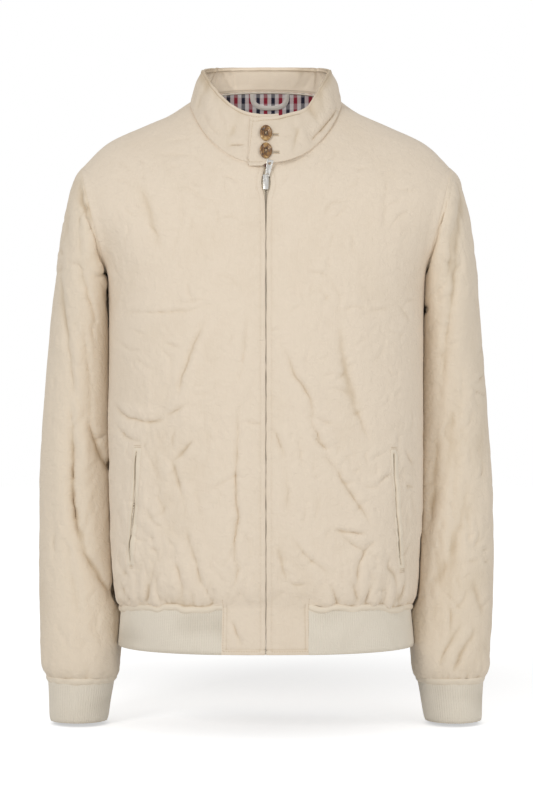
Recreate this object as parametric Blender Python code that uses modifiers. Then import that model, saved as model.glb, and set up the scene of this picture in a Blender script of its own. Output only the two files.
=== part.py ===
# Lightly padded bomber jacket with a buttoned stand collar, a closed front zip, rib hem and rib cuffs.
# It keeps the hollow form of a worn garment. Metres, +Z up, the front faces -Y, the wearer's left is +X.
# The origin lies between the shoulders at the height of the neck points, where the wearer holds it up.

import math
from collections import namedtuple

import bmesh
import bpy
import numpy as np
from mathutils import Matrix, Vector

# ---------------------------------------------------------------- driving dimensions

gap = 0.0003                # between pieces at a seam
merge_distance = 0.00001
cloth = 0.0020              # lightly padded shell
collar_cloth = 0.0025       # interfaced, doubled collar
rib_cloth = 0.0025          # folded rib knit
thin_cloth = 0.0010         # lining and zip tape
welt_cloth = 0.0022         # folded strip at the top of the rib and the cuffs

middle_y = 0.005            # the side seams and shoulder seams lie in this plane
roundness = 2.0 / 2.3       # power of the sine and cosine in every torso section
fall_power = 1.5            # how a row falls from its centre height to its side height
neck_fall_power = 0.75      # the same at the back of the neck, where the seam runs nearly level
seam_narrowing = 8          # how close to the side seam a panel draws in to leave the gap
armhole_half_depth = 0.065

front_edge_gap = 0.0013     # half the slit between the closed fronts
front_edge_open = 0.0050    # how far each front stands aside at the slider
slider_height = -0.112
slider_spread = 0.016

block_angle = math.radians(13.7)    # the fronts run down to the hem inside this angle
block_clear = 0.008         # share of a quarter turn between a block and the rib
bodice_row = 2
rib_rows = [0.0, 0.5, 0.985]
hem_welt_rows = [1.18, 1.55, 1.955]

# Each row is a closed section of the torso: its side point, its centre front and its centre back.
Torso = namedtuple("Torso", "side_x side_z front_y front_z back_y back_z")
lower_rows = [
    Torso(0.1900, -0.7000, -0.1170, -0.7000, 0.1020, -0.7000),    # hem
    Torso(0.1860, -0.6535, -0.1165, -0.6447, 0.1000, -0.6480),    # top of the rib
    Torso(0.1885, -0.6468, -0.1175, -0.6375, 0.1015, -0.6410),    # bottom of the shell
    Torso(0.1945, -0.6330, -0.1220, -0.6230, 0.1070, -0.6270),    # shell drops over the welt
    Torso(0.1968, -0.6150, -0.1245, -0.6060, 0.1095, -0.6100),
    Torso(0.1990, -0.5750, -0.1262, -0.5700, 0.1100, -0.5720),
    Torso(0.2010, -0.4820, -0.1272, -0.4820, 0.1060, -0.4820),    # waist
    Torso(0.2018, -0.3870, -0.1290, -0.3950, 0.1060, -0.3870),
    Torso(0.2018, -0.2925, -0.1300, -0.3150, 0.1120, -0.2925),    # chest
    Torso(0.2040, -0.2210, -0.1255, -0.2500, 0.1160, -0.2180),    # underarm
]
upper_rows = [
    Torso(0.2380, -0.0835, -0.1080, -0.1400, 0.1030, -0.0850),    # shoulder tip
    Torso(0.2060, -0.0527, -0.1035, -0.1240, 0.0960, -0.0500),
    Torso(0.1580, -0.0297, -0.0990, -0.1070, 0.0880, -0.0170),
    Torso(0.1215, -0.0140, -0.0965, -0.0970, 0.0800, 0.0100),
    Torso(0.0960, -0.0015, -0.0950, -0.0898, 0.0700, 0.0285),      # neck seam
]
torso_rows = lower_rows + upper_rows
underarm_row = len(lower_rows) - 1
tip_row = len(lower_rows)
neck_row = len(torso_rows) - 1

# Each row is a ring of the left sleeve: its outer and inner point, its centre depth and half depth.
Sleeve = namedtuple("Sleeve", "outer_x outer_z inner_x inner_z centre_y half_depth")
sleeve_rows = [
    Sleeve(0.2380, -0.0835, 0.2040, -0.2210, 0.0050, 0.0650),     # armhole
    Sleeve(0.2450, -0.0905, 0.2045, -0.2265, 0.0055, 0.0655),
    Sleeve(0.2518, -0.1053, 0.2050, -0.2330, 0.0065, 0.0660),     # sleeve head
    Sleeve(0.2605, -0.1391, 0.2050, -0.2480, 0.0100, 0.0655),
    Sleeve(0.2712, -0.2015, 0.2045, -0.2800, 0.0200, 0.0635),
    Sleeve(0.2790, -0.2640, 0.2035, -0.3250, 0.0310, 0.0610),     # biceps
    Sleeve(0.2860, -0.3350, 0.2000, -0.3800, 0.0400, 0.0585),
    Sleeve(0.2918, -0.4100, 0.1965, -0.4400, 0.0450, 0.0565),     # elbow
    Sleeve(0.2955, -0.4850, 0.1935, -0.5050, 0.0440, 0.0545),
    Sleeve(0.2968, -0.5700, 0.1915, -0.5800, 0.0370, 0.0525),
    Sleeve(0.2962, -0.6400, 0.1900, -0.6450, 0.0270, 0.0505),     # forearm
    Sleeve(0.2930, -0.6950, 0.1905, -0.6970, 0.0180, 0.0480),
    Sleeve(0.2898, -0.7290, 0.1930, -0.7300, 0.0125, 0.0450),
    Sleeve(0.2845, -0.7415, 0.1970, -0.7415, 0.0115, 0.0415),     # bottom of the sleeve
    Sleeve(0.2815, -0.7500, 0.2005, -0.7500, 0.0110, 0.0385),     # top of the cuff
    Sleeve(0.2790, -0.7995, 0.2090, -0.7995, 0.0100, 0.0350),     # end of the cuff
]
sleeve_steps = [0.0, 1.0, 2.0, 3.0, 4.0, 5.0, 6.0, 7.0, 8.0, 9.0, 9.4, 10.0, 11.0, 12.0, 13.0]
cuff_welt_rows = [13.06, 13.5, 13.94]
cuff_rows = [14.02, 14.35, 14.7, 15.0]
ring_sides = 20
welt_step_out = 0.0004
shell_bag = 0.010           # the shell hangs this far below its widest point above the hem
sleeve_tip_clear = 0.0009   # from the armhole to the sleeve at the shoulder tip
sleeve_clear = 0.0056       # added where the sleeve's wall faces the torso's wall

# collar: a band from the under end on the right, round the back, to the tab on the right again
collar_top_half_width = 0.0850
collar_top_front_y = -0.0780
collar_top_back_y = 0.0700
collar_top_front_z = -0.0245
collar_top_side_z = 0.0475
collar_top_back_z = 0.0604
collar_top_fall = 1.9
tab_edge_x = 0.0226
tab_bottom_z = -0.0917
tab_corner = 0.0060
tab_corner_share = 0.62     # of the corner's radius taken along the neck seam
tab_step_begins = math.radians(359.0)   # here the lapped end starts to reach down as the tab
tab_step_turn = math.radians(3.0)
collar_lift_middle = 0.365  # rise of the shell's turned edge at the neck seam, in parts of its wall
collar_lift_front = 0.115
collar_lift_side = 0.465
under_end_x = 0.0180
lap_lift = 0.0034           # the lapped end stands off the under end and the right front
lap_begins = math.radians(322.0)
lap_ends = math.radians(347.0)

button_half_width = 0.00775
button_half_height = 0.0100
button_heights = {"button_upper": -0.0475, "button_lower": -0.0697}
button_seat = 0.0005        # from the collar to the back of a button
button_sides = 24
button_profile = [          # share of the half-width, height over the back
    (0.0, 0.0022), (0.55, 0.0022), (0.68, 0.0030), (0.90, 0.0030), (1.0, 0.0020),
    (0.97, 0.0008), (0.60, 0.0), (0.0, 0.0),
]
button_hole_radius = 0.0009
button_hole_reach = 0.0019
button_hole_sides = 8
drill_length = 0.02

tape_width = 0.0130
tape_top = -0.0960
chain_half_width = 0.0010
chain_depth = 0.0012
chain_top = -0.1150

slider_axis_z = -0.1050
slider_rise = 0.0026        # slider above its pull axis, along the front's slope
slider_fall = 0.0172
slider_crown_half = 0.0037
slider_tail_half = 0.0030
slider_plate = 0.0020
slider_wrap = 0.0010
slider_corner = 0.0012
slider_slope_step = 0.008   # the front's slope is read over this much above and below the pull axis
pull_axis_x = 0.0016
arch_half_width = 0.0007
arch_inner = 0.0011
arch_bar = 0.0010
arch_half_length = 0.0013
arch_sunk = 0.0004
arch_corner = 0.0003

pull_length = 0.0207
pull_low_half = 0.0024
pull_high_half = 0.0043
pull_half_thickness = 0.0006
pull_pin = 0.0005
pull_window_half = 0.00155
pull_window_length = 0.0034
pull_window_corner = 0.0003
pull_corner = 0.0004
pull_slot_half = 0.0020
pull_slot_top = 0.0030      # below the free end
pull_slot_low = 0.0062
pull_slot_corner = 0.0012
pull_side_lean = math.radians(11.0)
pull_back_lean = math.radians(4.0)

# slanted pocket welts: height and half-width position of the upper and lower end
Pocket = namedtuple("Pocket", "top_x top_z low_x low_z")
pockets = {
    "pocket_welt_right": (-1.0, Pocket(0.1600, -0.4430, 0.1690, -0.5920)),
    "pocket_welt_left": (1.0, Pocket(0.1590, -0.4450, 0.1710, -0.5970)),
}
pocket_width = 0.0085

loop_centre_x = 0.0050
loop_half_width = 0.0215
loop_top_z = 0.0262
loop_drop = 0.0215
loop_band = 0.0050
loop_off_back = 0.0020
loop_flatness = 0.75        # power that makes the loop's foot flatter than half a circle

lining_top = 0.88           # the lining ends just under the neck seam
piping_radius = 0.0009
piping_inset = 1.25         # parts of its radius and clearance that the piping lies inside the seam
strip_end_clear = 0.002     # a strip down the front has no row closer to its ends than this


# ---------------------------------------------------------------- scene and materials

for item in list(bpy.data.objects):
    bpy.data.objects.remove(item, do_unlink=True)

jacket = bpy.data.collections.new("bomber_jacket")
cutters = bpy.data.collections.new("cutters")
for group in (jacket, cutters):
    bpy.context.scene.collection.children.link(group)


def material(name, colour, roughness, metallic=0.0):
    made = bpy.data.materials.new(name)
    made.use_nodes = True
    shader = made.node_tree.nodes["Principled BSDF"]
    shader.inputs["Base Color"].default_value = (*colour, 1.0)
    shader.inputs["Roughness"].default_value = roughness
    shader.inputs["Metallic"].default_value = metallic
    made.diffuse_color = (*colour, 1.0)
    return made


shell_cotton = material("shell_cotton", (0.76, 0.66, 0.52), 0.85)
rib_knit = material("rib_knit", (0.64, 0.60, 0.52), 0.95)
check_cotton = material("check_cotton", (0.45, 0.10, 0.16), 0.90)
piping_cotton = material("piping_cotton", (0.84, 0.78, 0.68), 0.80)
zip_tape = material("zip_tape", (0.62, 0.56, 0.46), 0.90)
zip_metal = material("zip_metal", (0.62, 0.62, 0.62), 0.35, 1.0)
horn = material("horn", (0.33, 0.19, 0.08), 0.30)


# ---------------------------------------------------------------- tools for grids

def smooth(column, t):
    # cubic through a table's rows whose slopes are harmonic means, so it never overshoots
    values = np.array(column, dtype=float)
    steps = np.diff(values)
    slopes = np.zeros(len(values))
    both = steps[:-1] * steps[1:]
    total = np.where(both > 0, steps[:-1] + steps[1:], 1.0)
    slopes[1:-1] = np.where(both > 0, 2.0 * both / total, 0.0)
    slopes[0] = steps[0]
    slopes[-1] = steps[-1]
    t = np.asarray(t, dtype=float)
    i = np.clip(np.floor(t).astype(int), 0, len(values) - 2)
    f = t - i
    start = (2 * f ** 3 - 3 * f ** 2 + 1) * values[i] + (f ** 3 - 2 * f ** 2 + f) * slopes[i]
    end = (3 * f ** 2 - 2 * f ** 3) * values[i + 1] + (f ** 3 - f ** 2) * slopes[i + 1]
    return start + end


def columns(rows, name):
    return [getattr(row, name) for row in rows]


def ease(share):
    share = np.clip(share, 0.0, 1.0)
    return share * share * (3.0 - 2.0 * share)


def grid_normals(points):
    # unit normals from the differences along rows and columns
    along = np.gradient(points, axis=1)
    up = np.gradient(points, axis=0)
    normal = np.cross(along, up)
    return normal / np.linalg.norm(normal, axis=2, keepdims=True)


def faces_out(points, centre):
    # true when along x up points away from the centre
    return np.sum(grid_normals(points) * (points - centre)) > 0


def moved_out(points, centre, distance, like=None):
    # every point moved along its normal, away from the centre; like is a grid whose normals it takes
    like = points if like is None else like
    sign = 1.0 if faces_out(like, centre) else -1.0
    return points + sign * distance * grid_normals(like)


def sheet(name, points, centre, thickness, look, closed=False, keep=None, inward=False):
    # an open surface through a grid of points, given its wall by a Solidify modifier
    rows, across = points.shape[:2]
    wrap = across if closed else across - 1
    order = 1 if faces_out(points, centre) else -1
    faces = []
    for i in range(rows - 1):
        for j in range(wrap):
            if keep is not None and not keep[i, j]:
                continue
            k = (j + 1) % across
            face = [i * across + j, i * across + k, (i + 1) * across + k, (i + 1) * across + j]
            faces.append(face[::order])
    mesh = bpy.data.meshes.new(name)
    mesh.from_pydata(points.reshape(-1, 3).tolist(), [], faces)
    work = bmesh.new()
    work.from_mesh(mesh)
    bmesh.ops.delete(work, geom=[v for v in work.verts if not v.link_faces], context="VERTS")
    work.to_mesh(mesh)
    work.free()
    made = bpy.data.objects.new(name, mesh)
    jacket.objects.link(made)
    wall = made.modifiers.new("wall", "SOLIDIFY")
    wall.thickness = thickness
    wall.offset = -1.0 if inward else 1.0
    mesh.materials.append(look)
    mesh.shade_smooth()
    return made


# ---------------------------------------------------------------- the torso's form

def armhole_angle(t):
    # runs from half a turn at the underarm to nothing at the shoulder tip
    return math.pi * np.clip(tip_row - t, 0.0, 1.0)


def armhole_point(angle):
    # the armhole is an ellipse in the plane through the shoulder tip and the underarm
    tip = upper_rows[0]
    under = lower_rows[-1]
    rise = 0.5 * (1.0 + np.cos(angle))
    x = under.side_x + (tip.side_x - under.side_x) * rise
    z = under.side_z + (tip.side_z - under.side_z) * rise
    return x, z, armhole_half_depth * np.sin(angle)


def side_line(t):
    # the outer edge of a panel: side seam, then armhole, then shoulder seam
    hole_x, hole_z, hole_depth = armhole_point(armhole_angle(t))
    low = np.minimum(t, underarm_row)
    high = np.maximum(t - tip_row, 0.0)
    below = t <= underarm_row
    above = t >= tip_row
    x = np.where(below, smooth(columns(lower_rows, "side_x"), low), hole_x)
    z = np.where(below, smooth(columns(lower_rows, "side_z"), low), hole_z)
    x = np.where(above, smooth(columns(upper_rows, "side_x"), high), x)
    z = np.where(above, smooth(columns(upper_rows, "side_z"), high), z)
    depth = np.where(below | above, 0.0, hole_depth)
    return x, z, depth


def z_power(t, back):
    # the back's rows grow flatter from the shoulder tip to the neck
    flatter = np.interp(t, [tip_row, neck_row], [fall_power, neck_fall_power])
    return flatter if back else fall_power


def torso(share, t, back, edge=0.0):
    # share runs from 0 at the centre to 1 at the panel's outer edge, t counts the rows from the hem
    share, t = np.broadcast_arrays(np.asarray(share, float), np.asarray(t, float))
    side_x, side_z, side_depth = side_line(t)
    word = "back" if back else "front"
    way = 1.0 if back else -1.0
    centre_y = smooth(columns(torso_rows, word + "_y"), t)
    centre_z = smooth(columns(torso_rows, word + "_z"), t)
    reach = np.abs(centre_y - middle_y)
    last = np.arccos(np.clip(side_depth / reach, 0.0, 1.0) ** (1.0 / roundness))
    angle = share * last

    def fall(power):
        # 0 at the centre, 1 at the edge
        drop = 1.0 - np.clip(np.cos(angle), 0.0, 1.0) ** power
        return drop / (1.0 - np.clip(np.cos(last), 0.0, 1.0) ** power)

    x = edge + (side_x - edge) * (np.sin(angle) / np.sin(last)) ** roundness
    side_y = middle_y + way * side_depth
    y = centre_y + (side_y - centre_y) * fall(roundness) + way * 0.5 * gap * np.sin(angle) ** seam_narrowing
    z = centre_z + (side_z - centre_z) * fall(z_power(t, back))
    return np.stack([x, y, z], axis=-1)


def front_edge(z):
    # the fronts stand aside round the slider
    return front_edge_gap + front_edge_open * np.exp(-((z - slider_height) / slider_spread) ** 2)


def find_row(x, z, back):
    # the row and share of the point of the torso at x and z, found by halving
    x, z = np.broadcast_arrays(np.asarray(x, float), np.asarray(z, float))
    low = np.zeros(x.shape)
    high = np.full(x.shape, float(neck_row))

    def share_at(t):
        ratio = np.clip(x / side_line(t)[0], 0.0, 1.0) ** (1.0 / roundness)
        return np.arcsin(ratio) / (0.5 * math.pi)

    for _ in range(40):
        t = 0.5 * (low + high)
        under = torso(share_at(t), t, back)[..., 2] < z
        low = np.where(under, t, low)
        high = np.where(under, high, t)
    return share_at(t), t


def torso_axis(points):
    # the point of the middle line level with each point
    level = points.copy()
    level[..., 0] = 0.0
    level[..., 1] = middle_y
    return level


def mirrored(points, side):
    return points * np.array([side, 1.0, 1.0])


# ---------------------------------------------------------------- fronts, back, rib hem

panel_angles = np.radians([0.0, 6.85, 13.7, 25.0, 37.0, 50.0, 63.0, 76.5, 90.0])
panel_shares = panel_angles / (0.5 * math.pi)
block_column = 2
armhole_steps = 10
panel_rows = np.concatenate([
    np.array([0.0, 1.0, 2.0, 3.0, 4.0, 5.0, 6.0, 6.5, 7.0, 8.0, 8.5]),
    underarm_row + np.arange(armhole_steps) / armhole_steps,
    np.arange(tip_row, neck_row + 1.0),
])


def panel_grid(back):
    # the left half of the fronts or of the back
    t = panel_rows[:, None]
    centre_z = smooth(columns(torso_rows, "front_z"), t)
    edge = 0.0 if back else front_edge(centre_z)
    return torso(panel_shares[None, :], t, back, edge)


def on_panel(x, z, back):
    # the points of a panel's own facets near x and z
    share, t = find_row(x, z, back)
    grid = panel_grid(back)
    column = np.interp(share, panel_shares, np.arange(len(panel_shares)))
    row = np.interp(t, panel_rows, np.arange(len(panel_rows)))
    j = np.clip(np.floor(column).astype(int), 0, len(panel_shares) - 2)
    i = np.clip(np.floor(row).astype(int), 0, len(panel_rows) - 2)
    across = (column - j)[..., None]
    up = (row - i)[..., None]
    low = grid[i, j] * (1.0 - across) + grid[i, j + 1] * across
    high = grid[i + 1, j] * (1.0 - across) + grid[i + 1, j + 1] * across
    return low * (1.0 - up) + high * up


def front_panel(name, side):
    points = panel_grid(False)
    keep = np.ones((len(panel_rows) - 1, len(panel_shares) - 1), bool)
    keep[panel_rows[:-1] < bodice_row, block_column:] = False
    points = mirrored(points, side)
    return sheet(name, points, torso_axis(points), cloth, shell_cotton, keep=keep)


def both_halves(left):
    return np.concatenate([mirrored(left[:, :0:-1], -1.0), left], axis=1)


def back_panel():
    points = both_halves(panel_grid(True)[panel_rows >= bodice_row])
    return sheet("back", points, torso_axis(points), cloth, shell_cotton)


def round_the_back(rows, first_share, step_out):
    # a band from one front block round the back to the other: rows are torso rows
    start = np.linspace(first_share, 1.0, 9)
    rear = np.linspace(1.0, 0.0, 8)[1:]
    t = np.array(rows)[:, None]
    left = np.concatenate([torso(start, t, False), torso(rear, t, True)], axis=1)
    right = mirrored(left[:, :-1][:, ::-1], -1.0)
    points = np.concatenate([left, right], axis=1)
    return moved_out(points, torso_axis(points), step_out) if step_out else points


for name, side in (("front_right", -1.0), ("front_left", 1.0)):
    front_panel(name, side)
back_panel()

block_share = block_angle / (0.5 * math.pi)
beside_block = block_share + block_clear
rib = round_the_back(rib_rows, beside_block, 0.0)
sheet("hem_rib", rib, torso_axis(rib), rib_cloth, rib_knit)
welt = round_the_back(hem_welt_rows, beside_block, welt_step_out)
sheet("hem_welt", welt, torso_axis(welt), welt_cloth, shell_cotton)


# ---------------------------------------------------------------- sleeves and cuffs

def torso_reach(y, z):
    # the torso's half-width at a depth and height; above the underarm the armhole's plane bounds it
    tip = upper_rows[0]
    under = lower_rows[-1]
    heights = columns(lower_rows, "side_z")
    half = np.interp(z + shell_bag, heights, columns(lower_rows, "side_x"))
    half = np.maximum(half, np.interp(z, heights, columns(lower_rows, "side_x")))
    front = np.interp(z, heights, columns(lower_rows, "front_y"))
    back = np.interp(z, heights, columns(lower_rows, "back_y"))
    reach = np.where(y < middle_y, middle_y - front, back - middle_y)
    inside = 1.0 - np.clip(np.abs(y - middle_y) / reach, 0.0, 1.0) ** (2.0 / roundness)
    section = half * inside ** (0.5 * roundness)
    plane = under.side_x + (z - under.side_z) * (tip.side_x - under.side_x) / (tip.side_z - under.side_z)
    return np.where(z < under.side_z, section, plane)


def sleeve(angle, t):
    # angle runs round the ring from its outer point over the front to its inner point
    angle, t = np.broadcast_arrays(np.asarray(angle, float), np.asarray(t, float))
    outer_x, outer_z, inner_x, inner_z, centre_y, half_depth = (
        smooth(columns(sleeve_rows, name), t) for name in Sleeve._fields)
    outside = 0.5 * (1.0 + np.cos(angle))
    x = inner_x + (outer_x - inner_x) * outside
    z = inner_z + (outer_z - inner_z) * outside
    y = centre_y - half_depth * np.sin(angle)
    clear = sleeve_tip_clear + sleeve_clear * np.minimum(1.5 * (1.0 - outside), 1.0)
    x = np.maximum(x, torso_reach(y, z) + clear)
    return np.stack([x, y, z], axis=-1)


def sleeve_axis(points):
    return points.mean(axis=1, keepdims=True)


ring = np.arange(ring_sides) * 2.0 * math.pi / ring_sides


def tube(name, rows, side, thickness, look, step_out=0.0):
    points = sleeve(ring[None, :], np.array(rows)[:, None])
    if step_out:
        wrapped = np.concatenate([points[:, -1:], points, points[:, :1]], axis=1)
        points = moved_out(wrapped, sleeve_axis(points), step_out)[:, 1:-1]
    points = mirrored(points, side)
    return sheet(name, points, sleeve_axis(points), thickness, look, closed=True)


for word, side in (("right", -1.0), ("left", 1.0)):
    tube("sleeve_" + word, sleeve_steps, side, cloth, shell_cotton)
    tube("cuff_welt_" + word, cuff_welt_rows, side, welt_cloth, shell_cotton, welt_step_out)
    tube("cuff_" + word, cuff_rows, side, rib_cloth, rib_knit)


# ---------------------------------------------------------------- collar

def neck_seam(angle):
    # the neck row of the torso at any turn from the centre front
    front = np.cos(angle) >= 0.0
    size = np.abs(np.sin(angle)) ** roundness
    fall = np.abs(np.cos(angle))
    row = torso_rows[neck_row]
    x = row.side_x * size
    y_front = middle_y + (row.front_y - middle_y) * fall ** roundness
    y_back = middle_y + (row.back_y - middle_y) * fall ** roundness
    z_front = row.side_z + (row.front_z - row.side_z) * fall ** fall_power
    z_back = row.side_z + (row.back_z - row.side_z) * fall ** neck_fall_power
    return x, np.where(front, y_front, y_back), np.where(front, z_front, z_back)


def collar_top(angle):
    front = np.cos(angle) >= 0.0
    size = np.abs(np.sin(angle)) ** roundness
    fall = np.abs(np.cos(angle))
    y_front = middle_y + (collar_top_front_y - middle_y) * fall ** roundness
    y_back = middle_y + (collar_top_back_y - middle_y) * fall ** roundness
    z_front = collar_top_side_z + (collar_top_front_z - collar_top_side_z) * fall ** collar_top_fall
    z_back = collar_top_side_z + (collar_top_back_z - collar_top_side_z) * fall
    return collar_top_half_width * size, np.where(front, y_front, y_back), np.where(front, z_front, z_back)


def seam_lift(angle):
    # the collar stands this far above the seam, to clear the turned edge of the shell below it
    slope = (collar_lift_middle - collar_lift_front * np.cos(angle)
             + collar_lift_side * np.sin(angle) ** 2)
    return 4.0 * gap + cloth * slope


def turn_at(x, half_width):
    # the turn from the centre front at which a section of this half-width reaches x
    return math.asin((x / half_width) ** (1.0 / roundness))


def collar(angle, share, corner):
    # angle starts at the centre front and runs round the wearer's right; share climbs the band
    angle, share = np.broadcast_arrays(np.asarray(angle, float), np.asarray(share, float))
    low_x, low_y, low_z = neck_seam(angle)
    top_x, top_y, top_z = collar_top(angle)
    low_z = low_z + seam_lift(angle)
    on_tab = ease((angle - tab_step_begins) / tab_step_turn)
    low_z = low_z + (tab_bottom_z - low_z) * on_tab
    into = np.clip((angle - collar_end + corner_turn) / corner_turn, 0.0, 1.0)
    low_z = low_z + corner * (1.0 - np.sqrt(1.0 - into ** 2))
    side = np.where(np.sin(angle) >= 0.0, -1.0, 1.0)
    x = side * (low_x + (top_x - low_x) * share)
    y = low_y + (top_y - low_y) * share
    z = low_z + (top_z - low_z) * share
    return np.stack([x, y, z], axis=-1)


low_rows_half = torso_rows[neck_row].side_x
collar_start = -turn_at(under_end_x, low_rows_half)
collar_end = 2.0 * math.pi + turn_at(tab_edge_x, low_rows_half)
corner_turn = tab_corner_share * tab_corner / low_rows_half
quarter = panel_angles[:-1]
collar_turns = np.concatenate([
    np.linspace(collar_start, 0.0, 3)[:-1],
    quarter,
    math.pi - panel_angles[:0:-1],
    math.pi + quarter,
    2.0 * math.pi - panel_angles[:0:-1],
    np.linspace(2.0 * math.pi, collar_end - corner_turn, 4),
    collar_end - corner_turn * (1.0 - np.sin(np.radians([25.0, 50.0, 70.0, 86.0]))),
])
collar_shares = np.linspace(0.0, 1.0, 4)
band = collar(collar_turns[None, :], collar_shares[:, None], tab_corner)
band_axis = torso_axis(band)
square = collar(collar_turns[None, :], collar_shares[:, None], 0.0)
lift = lap_lift * ease((collar_turns - lap_begins) / (lap_ends - lap_begins))
band = moved_out(band, band_axis, lift[None, :, None], square)
sheet("collar", band, band_axis, collar_cloth, shell_cotton)


# ---------------------------------------------------------------- neck lining, piping, hanger loop

def neck_lining():
    # lies on the inside of the upper back, from its points
    rows = panel_grid(True)[panel_rows >= tip_row][:, :-1]
    rows[-1] = rows[-2] + lining_top * (rows[-1] - rows[-2])
    points = both_halves(rows)
    points = moved_out(points, torso_axis(points), -gap)
    return sheet("neck_lining", points, torso_axis(points), thin_cloth, check_cotton, inward=True)


def tube_along(name, route, radius, look):
    curve = bpy.data.curves.new(name, "CURVE")
    curve.dimensions = "3D"
    curve.bevel_depth = radius
    curve.bevel_resolution = 2
    curve.use_fill_caps = True
    line = curve.splines.new("POLY")
    line.points.add(len(route) - 1)
    for point, place in zip(line.points, route):
        point.co = (*place, 1.0)
    curve.materials.append(look)
    made = bpy.data.objects.new(name, curve)
    jacket.objects.link(made)
    return made


def neck_piping():
    # runs inside the collar's foot, from one shoulder round the back to the other
    angle = np.concatenate([math.pi - panel_angles[-2:0:-1], math.pi + panel_angles[:-1]])
    low_x, low_y, low_z = neck_seam(angle)
    inset = 1.0 - (piping_radius + 2.0 * gap) / low_rows_half * piping_inset
    side = np.sign(angle - math.pi)
    x = side * low_x * inset
    y = middle_y + (low_y - middle_y) * inset - gap
    route = np.stack([x, y, low_z + seam_lift(angle)], axis=-1)
    return tube_along("neck_piping", route, piping_radius, piping_cotton)


def hanger_loop():
    # a folded band that hangs as a U from the neck seam, lying just inside the lining
    turn = np.linspace(0.0, math.pi, 15)
    across = np.linspace(-0.5, 0.5, 3)[:, None] * loop_band
    reach_x = loop_half_width - 0.5 * loop_band + across
    reach_z = loop_drop - 0.5 * loop_band + across
    x = loop_centre_x - reach_x * np.cos(turn)[None, :]
    z = loop_top_z - reach_z * np.sin(turn)[None, :] ** loop_flatness
    y = on_panel(np.abs(x), z, True)[..., 1] - loop_off_back
    points = np.stack([x, y, z], axis=-1)
    return sheet("hanger_loop", points, torso_axis(points), thin_cloth, shell_cotton, inward=True)


neck_lining()
neck_piping()
hanger_loop()


# ---------------------------------------------------------------- pocket welts

def pocket_welt(name, side, pocket):
    # a strip on the outside of the front, from its points moved out
    along = np.linspace(0.0, 1.0, 13)[:, None]
    across = np.linspace(-0.5, 0.5, 3)[None, :] * pocket_width
    x = pocket.top_x + (pocket.low_x - pocket.top_x) * along + across
    z = pocket.top_z + (pocket.low_z - pocket.top_z) * along + 0.0 * across
    points = mirrored(on_panel(x, z, False), side)
    points = moved_out(points, torso_axis(points), cloth + 3.0 * gap)
    return sheet(name, points, torso_axis(points), thin_cloth, shell_cotton)


for name, (side, pocket) in pockets.items():
    pocket_welt(name, side, pocket)


# ---------------------------------------------------------------- zip

def front_line(z):
    # depth of the inside face at the centre front
    line = panel_grid(False)[:, 0]
    return np.interp(z, line[:, 2], line[:, 1])


def strip(name, x_low, x_high, z_low, z_high, out, thickness, look, inward=False):
    # a straight strip down the centre front; out is its distance outside the shell's inside face
    line = panel_grid(False)[:, 0, 2]
    inner = line[(line > z_low + strip_end_clear) & (line < z_high - strip_end_clear)]
    z = np.concatenate([[z_low], inner, [z_high]])[:, None]
    x, z = np.broadcast_arrays(np.array([x_low, x_high])[None, :], z)
    y = on_panel(np.abs(x), z, False)[..., 1] - out
    points = np.stack([x, y, z], axis=-1)
    return sheet(name, points, torso_axis(points), thickness, look, inward=inward)


hem_z = torso_rows[0].front_z
strip("zip_tape_right", -tape_width, -gap, hem_z, tape_top, -gap, thin_cloth, zip_tape, inward=True)
strip("zip_tape_left", gap, tape_width, hem_z, tape_top, -gap, thin_cloth, zip_tape, inward=True)
strip("zip_chain", -chain_half_width, chain_half_width, hem_z, chain_top, 0.0, chain_depth, zip_metal)


def solid_from_outlines(name, outlines, half_thickness, look, group):
    # a flat outline with its holes, given a thickness; x and y of the outline become x and z
    curve = bpy.data.curves.new(name, "CURVE")
    curve.dimensions = "2D"
    curve.fill_mode = "BOTH"
    curve.extrude = half_thickness
    for outline in outlines:
        line = curve.splines.new("POLY")
        line.points.add(len(outline) - 1)
        for point, (u, v) in zip(line.points, outline):
            point.co = (u, v, 0.0, 1.0)
        line.use_cyclic_u = True
    flat = bpy.data.objects.new(name + "_outline", curve)
    group.objects.link(flat)
    bpy.context.view_layer.update()
    mesh = bpy.data.meshes.new_from_object(flat.evaluated_get(bpy.context.evaluated_depsgraph_get()))
    bpy.data.objects.remove(flat, do_unlink=True)
    work = bmesh.new()
    work.from_mesh(mesh)
    bmesh.ops.remove_doubles(work, verts=work.verts, dist=merge_distance)
    bmesh.ops.transform(work, matrix=Matrix.Rotation(0.5 * math.pi, 4, "X"), verts=work.verts)
    bmesh.ops.recalc_face_normals(work, faces=work.faces)
    work.to_mesh(mesh)
    work.free()
    mesh.materials.clear()
    mesh.materials.append(look)
    made = bpy.data.objects.new(name, mesh)
    group.objects.link(made)
    return made


def rounded(corners, radius, steps=4):
    # a closed outline whose corners are arcs
    outline = []
    count = len(corners)
    for i, corner in enumerate(corners):
        here = Vector(corner)
        before = (Vector(corners[i - 1]) - here).normalized()
        after = (Vector(corners[(i + 1) % count]) - here).normalized()
        half = 0.5 * before.angle(after)
        cut = radius / math.tan(half)
        centre = here + (before + after).normalized() * radius / math.sin(half)
        start = here + before * cut - centre
        end = here + after * cut - centre
        sweep = start.angle_signed(end)
        for k in range(steps + 1):
            turned = Matrix.Rotation(-sweep * k / steps, 2) @ start
            outline.append(tuple(centre + turned))
    return outline


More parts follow.
